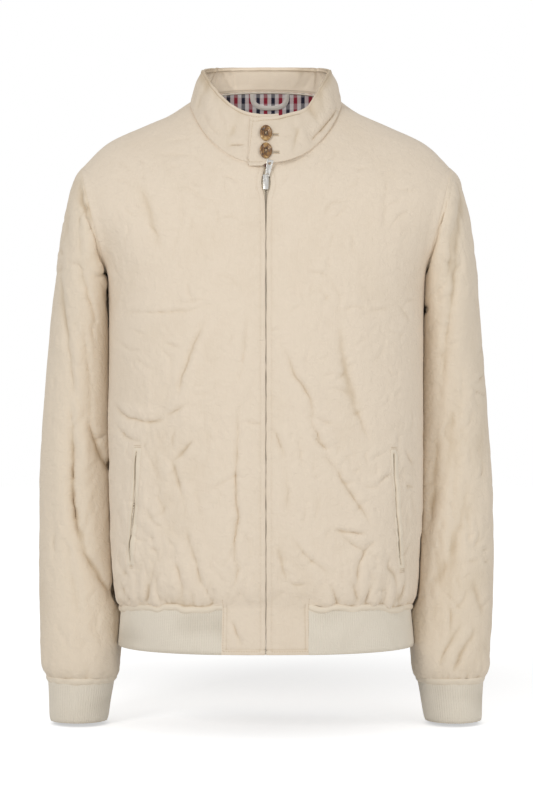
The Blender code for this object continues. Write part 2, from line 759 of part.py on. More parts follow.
def box(name, low, high, look, group):
    low = Vector(low)
    high = Vector(high)
    work = bmesh.new()
    bmesh.ops.create_cube(work, size=1.0)
    size = Matrix.Diagonal((*(high - low), 1.0))
    bmesh.ops.transform(work, matrix=Matrix.Translation(0.5 * (low + high)) @ size, verts=work.verts)
    mesh = bpy.data.meshes.new(name)
    work.to_mesh(mesh)
    work.free()
    mesh.materials.append(look)
    made = bpy.data.objects.new(name, mesh)
    group.objects.link(made)
    return made


def boolean(target, other, kind):
    # the other solid is only a guide, so it stays out of the renders
    step = target.modifiers.new(other.name, "BOOLEAN")
    step.operation = kind
    step.object = other
    other.hide_render = True
    other.display_type = "WIRE"


def slider_placement():
    # local x across, y into the jacket, z up the front's slope; the origin is on the chain's face
    above = slider_axis_z + slider_slope_step
    below = slider_axis_z - slider_slope_step
    up = Vector((0.0, float(front_line(above) - front_line(below)), above - below)).normalized()
    out = Vector((0.0, -up.z, up.y))
    place = Vector((0.0, float(front_line(slider_axis_z)), slider_axis_z)) + out * chain_depth
    return Matrix.Translation(place) @ Matrix(((1.0, 0.0, 0.0, 0.0), (0.0, up.z, up.y, 0.0),
                                               (0.0, -up.y, up.z, 0.0), (0.0, 0.0, 0.0, 1.0)))


slider_frame = slider_placement()


def zip_slider():
    # a channel over the chain's top end, with an arch that holds the pull tab's pin
    outline = rounded([
        (-slider_crown_half, slider_rise), (slider_crown_half, slider_rise),
        (slider_tail_half, -slider_fall), (-slider_tail_half, -slider_fall),
    ], slider_corner)
    half_depth = 0.5 * (slider_plate + slider_wrap)
    body = solid_from_outlines("zip_slider", [outline], half_depth, zip_metal, jacket)
    body.data.transform(slider_frame @ Matrix.Translation((0.0, half_depth - slider_plate - gap, 0.0)))
    channel = box("slider_channel",
                  (-chain_half_width - 2.0 * gap, -gap, -2.0 * slider_fall),
                  (chain_half_width + 2.0 * gap, 3.0 * slider_wrap, 2.0 * slider_rise), zip_metal, cutters)
    channel.data.transform(slider_frame)
    boolean(body, channel, "DIFFERENCE")
    outer = arch_half_length + arch_bar
    high = 2.0 * arch_inner
    arch = solid_from_outlines("slider_arch", [
        rounded([(-outer, -arch_sunk), (outer, -arch_sunk), (outer, high + arch_bar),
                 (-outer, high + arch_bar)], arch_corner),
        rounded([(-arch_half_length, 0.5 * arch_sunk), (arch_half_length, 0.5 * arch_sunk),
                 (arch_half_length, high), (-arch_half_length, high)], arch_corner),
    ], arch_half_width, zip_metal, cutters)
    # the outline's x runs along the slider, its height stands away from the plate
    stand = Matrix(((0.0, 1.0, 0.0, pull_axis_x), (0.0, 0.0, -1.0, -slider_plate - gap),
                    (1.0, 0.0, 0.0, 0.0), (0.0, 0.0, 0.0, 1.0)))
    arch.data.transform(slider_frame @ stand)
    boolean(body, arch, "UNION")
    return body


def zip_pull():
    # a tapered plate with a window for the arch and a slot near its free end
    holder = bpy.data.objects.new("pull_axis", None)
    jacket.objects.link(holder)
    holder.location = slider_frame @ Vector((pull_axis_x, -slider_plate - gap - arch_inner, 0.0))
    top = pull_length
    plate = rounded([(-pull_low_half, -pull_pin), (pull_low_half, -pull_pin),
                     (pull_high_half, top), (-pull_high_half, top)], pull_corner)
    window = rounded([(-pull_window_half, pull_pin), (pull_window_half, pull_pin),
                      (pull_window_half, pull_window_length), (-pull_window_half, pull_window_length)],
                     pull_window_corner, 2)
    slot = rounded([(-pull_slot_half, top - pull_slot_low), (pull_slot_half, top - pull_slot_low),
                    (pull_slot_half, top - pull_slot_top), (-pull_slot_half, top - pull_slot_top)],
                   pull_slot_corner)
    made = solid_from_outlines("zip_pull", [plate, window, slot], pull_half_thickness, zip_metal, jacket)
    made.parent = holder
    made.rotation_euler = (-pull_back_lean, pull_side_lean, 0.0)
    return made


zip_slider()
zip_pull()


# ---------------------------------------------------------------- buttons

def button(name, height):
    # a turned disc with a raised rim and four holes, stretched to its height, lying on the tab
    radius = button_half_width
    work = bmesh.new()
    verts = [work.verts.new((share * radius, 0.0, rise)) for share, rise in button_profile]
    for first, second in zip(verts, verts[1:]):
        work.edges.new((first, second))
    mesh = bpy.data.meshes.new(name)
    work.to_mesh(mesh)
    work.free()
    mesh.materials.append(horn)
    made = bpy.data.objects.new(name, mesh)
    jacket.objects.link(made)
    turned = made.modifiers.new("turned", "SCREW")
    turned.axis = "Z"
    turned.steps = button_sides
    turned.render_steps = button_sides
    turned.use_merge_vertices = True
    turned.merge_threshold = merge_distance
    turned.use_normal_calculate = True
    for i in range(4):
        corner = math.pi * (0.25 + 0.5 * i)
        work = bmesh.new()
        bmesh.ops.create_cone(work, cap_ends=True, segments=button_hole_sides, radius1=button_hole_radius,
                              radius2=button_hole_radius, depth=drill_length)
        place = Matrix.Translation((button_hole_reach * math.cos(corner),
                                    button_hole_reach * math.sin(corner), 0.0))
        bmesh.ops.transform(work, matrix=place, verts=work.verts)
        drill_mesh = bpy.data.meshes.new(name + "_drill")
        work.to_mesh(drill_mesh)
        work.free()
        drill = bpy.data.objects.new(f"{name}_drill_{i}", drill_mesh)
        cutters.objects.link(drill)
        boolean(made, drill, "DIFFERENCE")
        drill.parent = made
    place_on_tab(made, height)
    return made


def place_on_tab(made, height):
    # on the outside of the lapped collar at the centre front, turned square to its slope
    row = torso_rows[neck_row]
    low = np.array([row.front_y, row.front_z])
    high = np.array([collar_top_front_y, collar_top_front_z])
    slope = (high - low) / np.linalg.norm(high - low)
    depth = np.interp(height, [low[1], high[1]], [low[0], high[0]])
    out = lap_lift + collar_cloth + button_seat
    centre = Vector((0.0, depth - out * slope[1], height + out * slope[0]))
    tilt = math.atan2(slope[0], slope[1])
    stretch = Matrix.Diagonal((1.0, button_half_height / button_half_width, 1.0, 1.0))
    made.matrix_world = (Matrix.Translation(centre) @ Matrix.Rotation(0.5 * math.pi - tilt, 4, "X")
                         @ stretch)


for name, height in button_heights.items():
    button(name, height)
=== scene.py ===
# Looks for a hollow bomber jacket: creased shell, knitted ribs, checked lining, metal zip and horn buttons.
# Metres, +Z up, the front faces -Y and the wearer's left is +X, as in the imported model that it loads.

import math

import bmesh
import bpy
import numpy as np
from mathutils import Matrix, Vector


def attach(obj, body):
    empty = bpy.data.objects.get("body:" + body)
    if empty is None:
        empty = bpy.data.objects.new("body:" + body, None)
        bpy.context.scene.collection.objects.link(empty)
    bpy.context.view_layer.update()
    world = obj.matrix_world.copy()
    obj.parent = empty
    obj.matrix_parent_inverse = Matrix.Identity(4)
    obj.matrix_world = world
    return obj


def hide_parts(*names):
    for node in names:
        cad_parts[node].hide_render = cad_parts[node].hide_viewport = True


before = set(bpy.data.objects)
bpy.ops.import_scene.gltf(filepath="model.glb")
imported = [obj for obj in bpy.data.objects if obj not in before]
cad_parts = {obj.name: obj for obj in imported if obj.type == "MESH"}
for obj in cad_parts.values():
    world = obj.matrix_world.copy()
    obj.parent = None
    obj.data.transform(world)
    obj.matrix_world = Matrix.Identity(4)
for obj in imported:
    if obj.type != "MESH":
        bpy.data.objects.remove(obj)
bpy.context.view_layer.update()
print("frame loaded")


# a hex code as written in a paint program, turned from sRGB to linear
def hexColour(code):
    channels = np.array([int(code[i:i + 2], 16) for i in (1, 3, 5)]) / 255.0
    linear = np.where(channels <= 0.04045, channels / 12.92, ((channels + 0.055) / 1.055) ** 2.4)
    return (*linear.tolist(), 1.0)


# fills a node's inputs: a socket is joined, anything else is set on the input itself
def setInputs(tree, node, inputs):
    for key, value in inputs.items():
        if isinstance(value, bpy.types.NodeSocket):
            tree.links.new(value, node.inputs[key])
        else:
            node.inputs[key].default_value = value


# adds a node with its settings and inputs and gives back one of its outputs
def addNode(tree, kind, inputs=None, output=0, **settings):
    node = tree.nodes.new("ShaderNode" + kind)
    for key, value in settings.items():
        setattr(node, key, value)
    setInputs(tree, node, inputs or {})
    return node.outputs[output]


# form of the jacket, the same surfaces as the model's

bodyForm = {
    "middleY": 0.005,           # plane of the side and shoulder seams
    "roundness": 2.0 / 2.3,
    "fallPower": 1.5,
    "neckFallPower": 0.75,
    "armholeHalfDepth": 0.065,
    "seamGap": 0.0003,
    "edgeGap": 0.0013,
    "edgeOpen": 0.0050,
    "sliderHeight": -0.112,
    "sliderSpread": 0.016,
    "blockShare": 13.7 / 90.0,
    "shellWall": 0.0020,
    "collarWall": 0.0025,
    "ribWall": 0.0025,
    "thinWall": 0.0010,
    "bridgeReach": 0.045,
    "hemSag": 0.0040,           # how far the padding hangs over the rib, at most
}

# side x and z, centre front y and z, centre back y and z, from the hem to the neck
torsoTable = np.array([
    [0.1900, -0.7000, -0.1170, -0.7000, 0.1020, -0.7000],
    [0.1860, -0.6535, -0.1165, -0.6447, 0.1000, -0.6480],
    [0.1885, -0.6468, -0.1175, -0.6375, 0.1015, -0.6410],
    [0.1945, -0.6330, -0.1220, -0.6230, 0.1070, -0.6270],
    [0.1968, -0.6150, -0.1245, -0.6060, 0.1095, -0.6100],
    [0.1990, -0.5750, -0.1262, -0.5700, 0.1100, -0.5720],
    [0.2010, -0.4820, -0.1272, -0.4820, 0.1060, -0.4820],
    [0.2018, -0.3870, -0.1290, -0.3950, 0.1060, -0.3870],
    [0.2018, -0.2925, -0.1300, -0.3150, 0.1120, -0.2925],
    [0.2040, -0.2210, -0.1255, -0.2500, 0.1160, -0.2180],
    [0.2380, -0.0835, -0.1080, -0.1400, 0.1030, -0.0850],
    [0.2060, -0.0527, -0.1035, -0.1240, 0.0960, -0.0500],
    [0.1580, -0.0297, -0.0990, -0.1070, 0.0880, -0.0170],
    [0.1215, -0.0140, -0.0965, -0.0970, 0.0800, 0.0100],
    [0.0960, -0.0015, -0.0950, -0.0898, 0.0700, 0.0285],
])
bodiceRow = 2
underarmRow = 9
tipRow = 10
neckRow = 14

# outer x and z, inner x and z, centre y, half depth, from the armhole to the end of the cuff
sleeveTable = np.array([
    [0.2380, -0.0835, 0.2040, -0.2210, 0.0050, 0.0650],
    [0.2450, -0.0905, 0.2045, -0.2265, 0.0055, 0.0655],
    [0.2518, -0.1053, 0.2050, -0.2330, 0.0065, 0.0660],
    [0.2605, -0.1391, 0.2050, -0.2480, 0.0100, 0.0655],
    [0.2712, -0.2015, 0.2045, -0.2800, 0.0200, 0.0635],
    [0.2790, -0.2640, 0.2035, -0.3250, 0.0310, 0.0610],
    [0.2860, -0.3350, 0.2000, -0.3800, 0.0400, 0.0585],
    [0.2918, -0.4100, 0.1965, -0.4400, 0.0450, 0.0565],
    [0.2955, -0.4850, 0.1935, -0.5050, 0.0440, 0.0545],
    [0.2968, -0.5700, 0.1915, -0.5800, 0.0370, 0.0525],
    [0.2962, -0.6400, 0.1900, -0.6450, 0.0270, 0.0505],
    [0.2930, -0.6950, 0.1905, -0.6970, 0.0180, 0.0480],
    [0.2898, -0.7290, 0.1930, -0.7300, 0.0125, 0.0450],
    [0.2845, -0.7415, 0.1970, -0.7415, 0.0115, 0.0415],
    [0.2815, -0.7500, 0.2005, -0.7500, 0.0110, 0.0385],
    [0.2790, -0.7995, 0.2090, -0.7995, 0.0100, 0.0350],
])


# cubic through a table's rows: value and slope at both ends of a step, slopes are harmonic means
def smoothColumn(values, t):
    steps = np.diff(values)
    both = steps[:-1] * steps[1:]
    total = np.where(both > 0, steps[:-1] + steps[1:], 1.0)
    slopes = np.concatenate([steps[:1], np.where(both > 0, 2.0 * both / total, 0.0), steps[-1:]])
    t = np.asarray(t, dtype=float)
    i = np.clip(np.floor(t).astype(int), 0, len(values) - 2)
    f = t - i
    low = (2 * f ** 3 - 3 * f ** 2 + 1) * values[i] + (f ** 3 - 2 * f ** 2 + f) * slopes[i]
    high = (3 * f ** 2 - 2 * f ** 3) * values[i + 1] + (f ** 3 - f ** 2) * slopes[i + 1]
    return low + high


# 0 below the start, 1 above the end, a cubic S between them
def ramp(value, start, end):
    share = np.clip((value - start) / (end - start), 0.0, 1.0)
    return share * share * (3.0 - 2.0 * share)


# a bell: e to the minus square of the distance over the width
def bell(distance, width):
    return np.exp(-(distance / width) ** 2)


# a groove's depth: a bell, from a pair of its depth and half width
def groove(distance, size):
    return size[0] * bell(distance, size[1])


# cross product of the differences along and across the grid, made one long
def gridNormals(points):
    normal = np.cross(np.gradient(points, axis=1), np.gradient(points, axis=0))
    return normal / np.maximum(np.linalg.norm(normal, axis=2, keepdims=True), 1e-12)


# the unit normals of a grid, turned so that most of them point away from the centre
def outwardNormals(points, centre):
    normal = gridNormals(points)
    return normal if np.sum(normal * (points - centre)) > 0 else -normal


# the point of the jacket's middle line level with each point
def bodyMiddle(points):
    level = points.copy()
    level[..., 0] = 0.0
    level[..., 1] = bodyForm["middleY"]
    return level


# outer edge of a panel: side seam, then half an ellipse round the armhole, then shoulder seam
def sideLine(t):
    turn = math.pi * np.clip(tipRow - t, 0.0, 1.0)
    rise = 0.5 * (1.0 + np.cos(turn))
    under = torsoTable[underarmRow]
    tip = torsoTable[tipRow]
    low = np.minimum(t, underarmRow)
    high = np.maximum(t - tipRow, 0.0)
    line = []
    for k in (0, 1):
        hole = under[k] + (tip[k] - under[k]) * rise
        value = np.where(t <= underarmRow, smoothColumn(torsoTable[:tipRow, k], low), hole)
        line.append(np.where(t >= tipRow, smoothColumn(torsoTable[tipRow:, k], high), value))
    depth = np.where((t <= underarmRow) | (t >= tipRow), 0.0, bodyForm["armholeHalfDepth"] * np.sin(turn))
    return line[0], line[1], depth


# superellipse section: x is the sine, y the cosine of the turn, each to the roundness power, between
# the panel's centre line and its outer edge; z falls from one to the other
def torsoPoint(share, t, back, edge=0.0):
    share, t = np.broadcast_arrays(np.asarray(share, float), np.asarray(t, float))
    sideX, sideZ, sideDepth = sideLine(t)
    way = 1.0 if back else -1.0
    centreY = smoothColumn(torsoTable[:, 4 if back else 2], t)
    centreZ = smoothColumn(torsoTable[:, 5 if back else 3], t)
    power = bodyForm["roundness"]
    reach = np.abs(centreY - bodyForm["middleY"])
    last = np.arccos(np.clip(sideDepth / reach, 0.0, 1.0) ** (1.0 / power))
    turn = share * last

    def fall(exponent):
        drop = 1.0 - np.clip(np.cos(turn), 0.0, 1.0) ** exponent
        return drop / (1.0 - np.clip(np.cos(last), 0.0, 1.0) ** exponent)

    x = edge + (sideX - edge) * (np.sin(turn) / np.sin(last)) ** power
    sideY = bodyForm["middleY"] + way * sideDepth
    y = centreY + (sideY - centreY) * fall(power) + way * 0.5 * bodyForm["seamGap"] * np.sin(turn) ** 8
    flatter = np.interp(t, [tipRow, neckRow], [bodyForm["fallPower"], bodyForm["neckFallPower"]])
    z = centreZ + (sideZ - centreZ) * fall(flatter if back else bodyForm["fallPower"])
    return np.stack([x, y, z], axis=-1)


# the fronts stand aside round the slider: a bell added to the slit's half width
def frontEdge(z):
    form = bodyForm
    return form["edgeGap"] + form["edgeOpen"] * bell(z - form["sliderHeight"], form["sliderSpread"])


# share and row of the torso's point at x and z, found by halving the rows
def findRow(x, z, back):
    x, z = np.broadcast_arrays(np.asarray(x, float), np.asarray(z, float))
    low = np.zeros(x.shape)
    high = np.full(x.shape, float(neckRow))

    def shareAt(t):
        ratio = np.clip(x / sideLine(t)[0], 0.0, 1.0) ** (1.0 / bodyForm["roundness"])
        return np.arcsin(ratio) / (0.5 * math.pi)

    for _ in range(36):
        t = 0.5 * (low + high)
        under = torsoPoint(shareAt(t), t, back)[..., 2] < z
        low = np.where(under, t, low)
        high = np.where(under, high, t)
    return shareAt(t), t


# the torso's half width at a depth and height; above the underarm the armhole's plane bounds it
def torsoReach(y, z):
    under = torsoTable[underarmRow]
    tip = torsoTable[tipRow]
    rows = torsoTable[:tipRow]
    half = np.interp(z + 0.010, rows[:, 1], rows[:, 0])
    half = np.maximum(half, np.interp(z, rows[:, 1], rows[:, 0]))
    middleY = bodyForm["middleY"]
    front = np.interp(z, rows[:, 1], rows[:, 2])
    rear = np.interp(z, rows[:, 1], rows[:, 4])
    reach = np.where(y < middleY, middleY - front, rear - middleY)
    power = bodyForm["roundness"]
    section = half * (1.0 - np.clip(np.abs(y - middleY) / reach, 0.0, 1.0) ** (2.0 / power)) ** (0.5 * power)
    plane = under[0] + (z - under[1]) * (tip[0] - under[0]) / (tip[1] - under[1])
    return np.where(z < under[1], section, plane)


# rings of the left sleeve: an ellipse between its outer and inner point, pushed clear of the torso
def sleevePoint(turn, t):
    turn, t = np.broadcast_arrays(np.asarray(turn, float), np.asarray(t, float))
    outerX, outerZ, innerX, innerZ, centreY, halfDepth = (smoothColumn(row, t) for row in sleeveTable.T)
    outside = 0.5 * (1.0 + np.cos(turn))
    x = innerX + (outerX - innerX) * outside
    z = innerZ + (outerZ - innerZ) * outside
    y = centreY - halfDepth * np.sin(turn)
    clear = 0.0009 + 0.0056 * np.minimum(1.5 * (1.0 - outside), 1.0)
    x = np.maximum(x, torsoReach(y, z) + clear)
    return np.stack([x, y, z], axis=-1)


collarForm = {
    "topHalfWidth": 0.0850,
    "topFront": (-0.0780, -0.0245),
    "topBack": (0.0700, 0.0604),
    "topSideZ": 0.0475,
    "topFall": 1.9,
    "tabEdgeX": 0.0226,
    "tabBottomZ": -0.0917,
    "tabCorner": 0.0060,
    "underEndX": 0.0180,
    "lapLift": 0.0034,
    "lapBegins": math.radians(322.0),
    "lapEnds": math.radians(347.0),
}


# the neck row of the torso at any turn from the centre front
def neckSeam(turn):
    sideX, sideZ, frontY, frontZ, backY, backZ = torsoTable[neckRow]
    front = np.cos(turn) >= 0.0
    fall = np.abs(np.cos(turn))
    middleY = bodyForm["middleY"]
    power = bodyForm["roundness"]
    x = sideX * np.abs(np.sin(turn)) ** power
    y = middleY + (np.where(front, frontY, backY) - middleY) * fall ** power
    rise = np.where(front, fall ** bodyForm["fallPower"], fall ** bodyForm["neckFallPower"])
    z = sideZ + (np.where(front, frontZ, backZ) - sideZ) * rise
    return x, y, z


# how far the collar's foot stands above the seam: the gaps, and the wall's height on the slope there,
# whose cosine is a sum of the turn's cosine and squared sine
def seamLift(turn):
    slope = 0.365 - 0.115 * np.cos(turn) + 0.465 * np.sin(turn) ** 2
    return 4.0 * bodyForm["seamGap"] + bodyForm["shellWall"] * slope


# straight lines from the neck seam to the collar's top edge; turn runs round the wearer's right, share
# climbs the band, and the tab's end reaches lower with one corner rounded by a circle
def collarPoint(turn, share, corner):
    form = collarForm
    turn, share = np.broadcast_arrays(np.asarray(turn, float), np.asarray(share, float))
    lowX, lowY, lowZ = neckSeam(turn)
    front = np.cos(turn) >= 0.0
    fall = np.abs(np.cos(turn))
    middleY = bodyForm["middleY"]
    power = bodyForm["roundness"]
    edgeY, edgeZ = (np.where(front, form["topFront"][k], form["topBack"][k]) for k in (0, 1))
    topX = form["topHalfWidth"] * np.abs(np.sin(turn)) ** power
    topY = middleY + (edgeY - middleY) * fall ** power
    topZ = form["topSideZ"] + (edgeZ - form["topSideZ"]) * np.where(front, fall ** form["topFall"], fall)
    lowZ = lowZ + seamLift(turn)
    lowZ = lowZ + (form["tabBottomZ"] - lowZ) * ramp(turn, math.radians(359.0), math.radians(362.0))
    into = np.clip((turn - collarEnd + cornerTurn) / cornerTurn, 0.0, 1.0)
    lowZ = lowZ + corner * (1.0 - np.sqrt(1.0 - into ** 2))
    side = np.where(np.sin(turn) >= 0.0, -1.0, 1.0)
    x = side * (lowX + (topX - lowX) * share)
    return np.stack([x, lowY + (topY - lowY) * share, lowZ + (topZ - lowZ) * share], axis=-1)


# the turn of a place at x on the neck seam, from the centre front
def neckTurn(x):
    return math.asin((x / neckHalfWidth) ** (1.0 / bodyForm["roundness"]))


neckHalfWidth = torsoTable[neckRow, 0]
collarStart = -neckTurn(collarForm["underEndX"])
collarEnd = 2.0 * math.pi + neckTurn(collarForm["tabEdgeX"])
cornerTurn = 0.62 * collarForm["tabCorner"] / neckHalfWidth


# the same points on the wearer's left, side 1, or right, side -1
def mirrored(points, side):
    return points * np.array([side, 1.0, 1.0])


# cloth: creases and meshes

latticeSize = (31, 37, 41)      # corners before the noise repeats


# gradient noise: random slopes at the corners of a box lattice, blended by a quintic S; about -1 to 1
def clothNoise(points, cell, seed):
    place = points / np.array(cell) + 40.0
    low = np.floor(place).astype(int)
    f = place - low
    s = f * f * f * (f * (f * 6.0 - 15.0) + 10.0)
    slopes = np.random.default_rng(seed).normal(size=(*latticeSize, 3))
    slopes /= np.linalg.norm(slopes, axis=-1, keepdims=True)
    total = np.zeros(points.shape[:-1])
    for corner in np.ndindex(2, 2, 2):
        c = np.array(corner)
        at = (low + c) % np.array(latticeSize)
        slope = slopes[at[..., 0], at[..., 1], at[..., 2]]
        weight = np.prod(np.where(c == 1, s, 1.0 - s), axis=-1)
        total += weight * np.sum(slope * (f - c), axis=-1)
    return 1.6 * total


crumpleForm = {
    "puff": 0.0021,             # broad swelling of the padding
    "crease": 0.0024,           # creases between the swellings
    "wrinkle": 0.0016,          # small wrinkles
    "warp": 0.016,              # how far the pattern is pulled about
    "broadCell": 0.075,
    "creaseCell": 0.040,
    "wrinkleCell": 0.013,
}


# padding between creases: broad noise, plus the absolute value of noise, whose zeros are sharp valleys
def crumple(points, seed, tall=2.2):
    form = crumpleForm
    broadCell, creaseCell, wrinkleCell = (
        (form[key], form[key], form[key] * tall) for key in ("broadCell", "creaseCell", "wrinkleCell"))
    pull = np.stack([clothNoise(points, (0.06, 0.06, 0.09), seed + k) for k in range(3)], axis=-1)
    moved = points + form["warp"] * pull
    broad = clothNoise(moved, broadCell, seed + 3)
    sharp = np.abs(clothNoise(moved, creaseCell, seed + 4))
    patch = ramp(clothNoise(points, (0.09, 0.09, 0.12), seed + 5), -0.25, 0.45)
    moved = moved + 0.5 * form["warp"] * pull[..., ::-1]
    small = np.abs(clothNoise(moved, wrinkleCell, seed + 6))
    return (form["puff"] * broad + form["crease"] * (np.minimum(sharp, 0.5) - 0.3) * (0.35 + patch)
            + form["wrinkle"] * (small - 0.3) * (0.3 + patch))


# a smooth line through a stroke's points, by the same cubic as the tables
def strokePath(points, perStep=8):
    t = np.linspace(0.0, len(points) - 1.0, (len(points) - 1) * perStep + 1)
    return np.stack([smoothColumn(points[:, k], t) for k in range(points.shape[1])], axis=-1)


strokeForm = {
    "height": 0.0016,           # for each mm of depth that a stroke is given
    "wander": 0.0016,           # how far noise bends the strokes
    "wanderCell": (0.013, 1.0, 0.013),
    "unevenCell": (0.02, 1.0, 0.02),
}


# height of listed creases at the points' x and z: across each stroke a valley, with a ridge on its
# left and a lower one on its right; along it a half sine that tapers both ends
def strokeHeight(points, strokes):
    form = strokeForm
    height = np.zeros(points.shape[:-1])
    flat = points * (1.0, 0.0, 1.0)
    a, b = (points[..., k] + form["wander"] * clothNoise(flat, form["wanderCell"], seed)
            for k, seed in ((0, 8), (2, 9)))
    for depth, width, *course in strokes:
        path = strokePath(np.reshape(course, (-1, 2))) * 0.001
        low, step = path[:-1], np.diff(path, axis=0)
        reach = 5.0 * width * 0.001
        near = ((a > path[:, 0].min() - reach) & (a < path[:, 0].max() + reach)
                & (b > path[:, 1].min() - reach) & (b < path[:, 1].max() + reach))
        offset = np.stack([a[near], b[near]], axis=-1)[:, None] - low
        long2 = np.sum(step ** 2, axis=-1)
        share = np.clip(np.sum(offset * step, axis=-1) / long2, 0.0, 1.0)
        away = offset - share[..., None] * step
        distance = np.linalg.norm(away, axis=-1)
        best = np.argmin(distance, axis=1)
        pick = np.arange(len(best))
        side = np.sign(step[best, 0] * offset[pick, best, 1] - step[best, 1] * offset[pick, best, 0])
        d = distance[pick, best] * side / (width * 0.001)
        along = (best + share[pick, best]) / len(step)
        flat = np.stack([a[near], 0.0 * a[near], b[near]], axis=-1)
        uneven = 0.75 + 0.5 * clothNoise(flat, form["unevenCell"], 5)
        sharp = -np.exp(-np.abs(1.9 * d) ** 1.3) + 0.48 * bell(d - 1.0, 0.6) + 0.20 * bell(d + 1.1, 0.7)
        soft = -0.30 * bell(d, 1.2) + 0.30 * bell(d - 2.2, 1.4) + 0.15 * bell(d + 2.6, 1.6)
        taper = np.sin(math.pi * along) ** 0.7
        height[near] += form["height"] * depth * taper * (0.62 * uneven * sharp + 1.35 * soft)
    return height


# how deep a hollow lies when its painted shade is full
shadeDepth = {
    "panel": 0.0030,
    "sleeve": 0.0034,
    "collar": 0.0026,
    "welt": 0.0012,
    "rib": 0.0006,
}

wrinkleForm = {
    "spread": 30.0,             # of their lean, in degrees
    "halfLength": (6.0, 17.0),  # mm
    "bend": 0.4,
    "depth": (0.30, 0.045),     # mm, and what a mm of half length adds to it
    "width": (1.7, 0.08),
}


# short wrinkles strewn over a box in mm: each a bent line of three points about a leaning direction
def smallCreases(count, box, lean, seed):
    form = wrinkleForm
    depth, width = form["depth"], form["width"]
    draw = np.random.default_rng(seed)
    middle = draw.uniform(box[:2], box[2:], (count, 2))
    angle = np.radians(lean + draw.normal(0.0, form["spread"], count))
    half = draw.uniform(*form["halfLength"], count)
    along = half[:, None] * np.stack([np.sin(angle), np.cos(angle)], axis=-1)
    bend = draw.uniform(-form["bend"], form["bend"], count)[:, None] * along[:, ::-1] * (1.0, -1.0)
    places = np.stack([middle - along, middle + bend, middle + along], axis=1)
    return [(depth[0] + depth[1] * size, width[0] + width[1] * size, *place.flat)
            for size, place in zip(half, places)]


# folds gathered into a seam: valleys of noise across it that fade with the distance from it
def gathers(points, away, form, seed):
    pitch = form["gatherPitch"]
    tall = (pitch, pitch, 0.11)
    pull = clothNoise(points, (3.0 * pitch, 3.0 * pitch, 0.03), seed)
    moved = points + 0.3 * pitch * np.stack([pull, pull, 0.0 * pull], axis=-1)
    folds = np.abs(clothNoise(moved, tall, seed + 1)) - 0.3
    uneven = 0.6 + 0.8 * ramp(clothNoise(points, (0.07, 0.07, 0.5), seed + 2), -0.4, 0.4)
    return form["gatherDepth"] * folds * uneven * np.exp(-np.maximum(away, 0.0) / form["gatherReach"])


# how far the cloth sags over the hem welt, as slow noise round the body: 0 to the full drop
def hemDrop(points):
    return bodyForm["hemSag"] * ramp(clothNoise(points, (0.024, 0.024, 0.4), 301), -0.40, 0.45)


# running lengths along rows and columns of a grid
def gridLengths(points):
    across = np.linalg.norm(np.diff(points, axis=1), axis=2)
    up = np.linalg.norm(np.diff(points, axis=0), axis=2)
    u = np.concatenate([np.zeros((points.shape[0], 1)), np.cumsum(across, axis=1)], axis=1)
    v = np.concatenate([np.zeros((1, points.shape[1])), np.cumsum(up, axis=0)], axis=0)
    return u, v


# a panel's points averaged up each column with a bell, near the underarm row and clear of the outer edge:
# the cloth bridges the corner below the armhole
def bridged(base, shares, rows, v):
    middle = v[:, base.shape[1] // 2]
    weight = bell(middle[:, None] - middle[None], bodyForm["bridgeReach"])
    weight /= weight.sum(axis=1, keepdims=True)
    window = bell(rows[:, None] - underarmRow - 0.1, 0.55) * ramp(shares[None], 1.0, 0.86)
    average = np.einsum("ij,jkc->ikc", weight, base)
    return base + window[..., None] * (average - base)


# places of a count of steps of even length along a curve that is known at dense parameters
def evenSteps(parameter, curve, count):
    length = np.concatenate([[0.0], np.cumsum(np.linalg.norm(np.diff(curve, axis=0), axis=1))])
    return np.interp(np.linspace(0.0, length[-1], count + 1), length, parameter)


# a grid with its first column again at its end
def wrapped(points):
    return np.concatenate([points, points[:, :1]], axis=1)


# quads between the rows of a grid whose points are counted row by row
def gridFaces(rows, across, closed=False):
    i, j = np.meshgrid(np.arange(rows - 1), np.arange(across if closed else across - 1), indexing="ij")
    k = (j + 1) % across
    return np.stack([i * across + j, i * across + k, (i + 1) * across + k, (i + 1) * across + j], axis=-1)


# the values of a grid at the corners of its quads
def gridCorners(values):
    return np.stack([values[:-1, :-1], values[:-1, 1:], values[1:, 1:], values[1:, :-1]], axis=-2)


def addObject(name, data):
    made = bpy.data.objects.new(name, data)
    bpy.context.scene.collection.objects.link(made)
    return made


# merges doubles, joins faces that lie flat, closes open ends if asked, and turns all faces outwards
def cleanMesh(mesh, merge=0.0, flat=0.0, fill=False):
    work = bmesh.new()
    work.from_mesh(mesh)
    if merge:
        bmesh.ops.remove_doubles(work, verts=work.verts, dist=merge)
    if flat:
        bmesh.ops.dissolve_limit(work, angle_limit=flat, verts=work.verts, edges=work.edges)
    if fill:
        bmesh.ops.holes_fill(work, edges=[edge for edge in work.edges if edge.is_boundary])
    bmesh.ops.recalc_face_normals(work, faces=work.faces)
    work.to_mesh(mesh)
    work.free()


def roundEdges(made, name, width, angle):
    rounding = made.modifiers.new(name, "BEVEL")
    rounding.width = width
    rounding.segments = 2
    rounding.limit_method = "ANGLE"
    rounding.angle_limit = math.radians(angle)


# says which body a piece rides on and which node it stands for
def standFor(made, node, body="jacket"):
    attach(made, body)
    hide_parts(node)
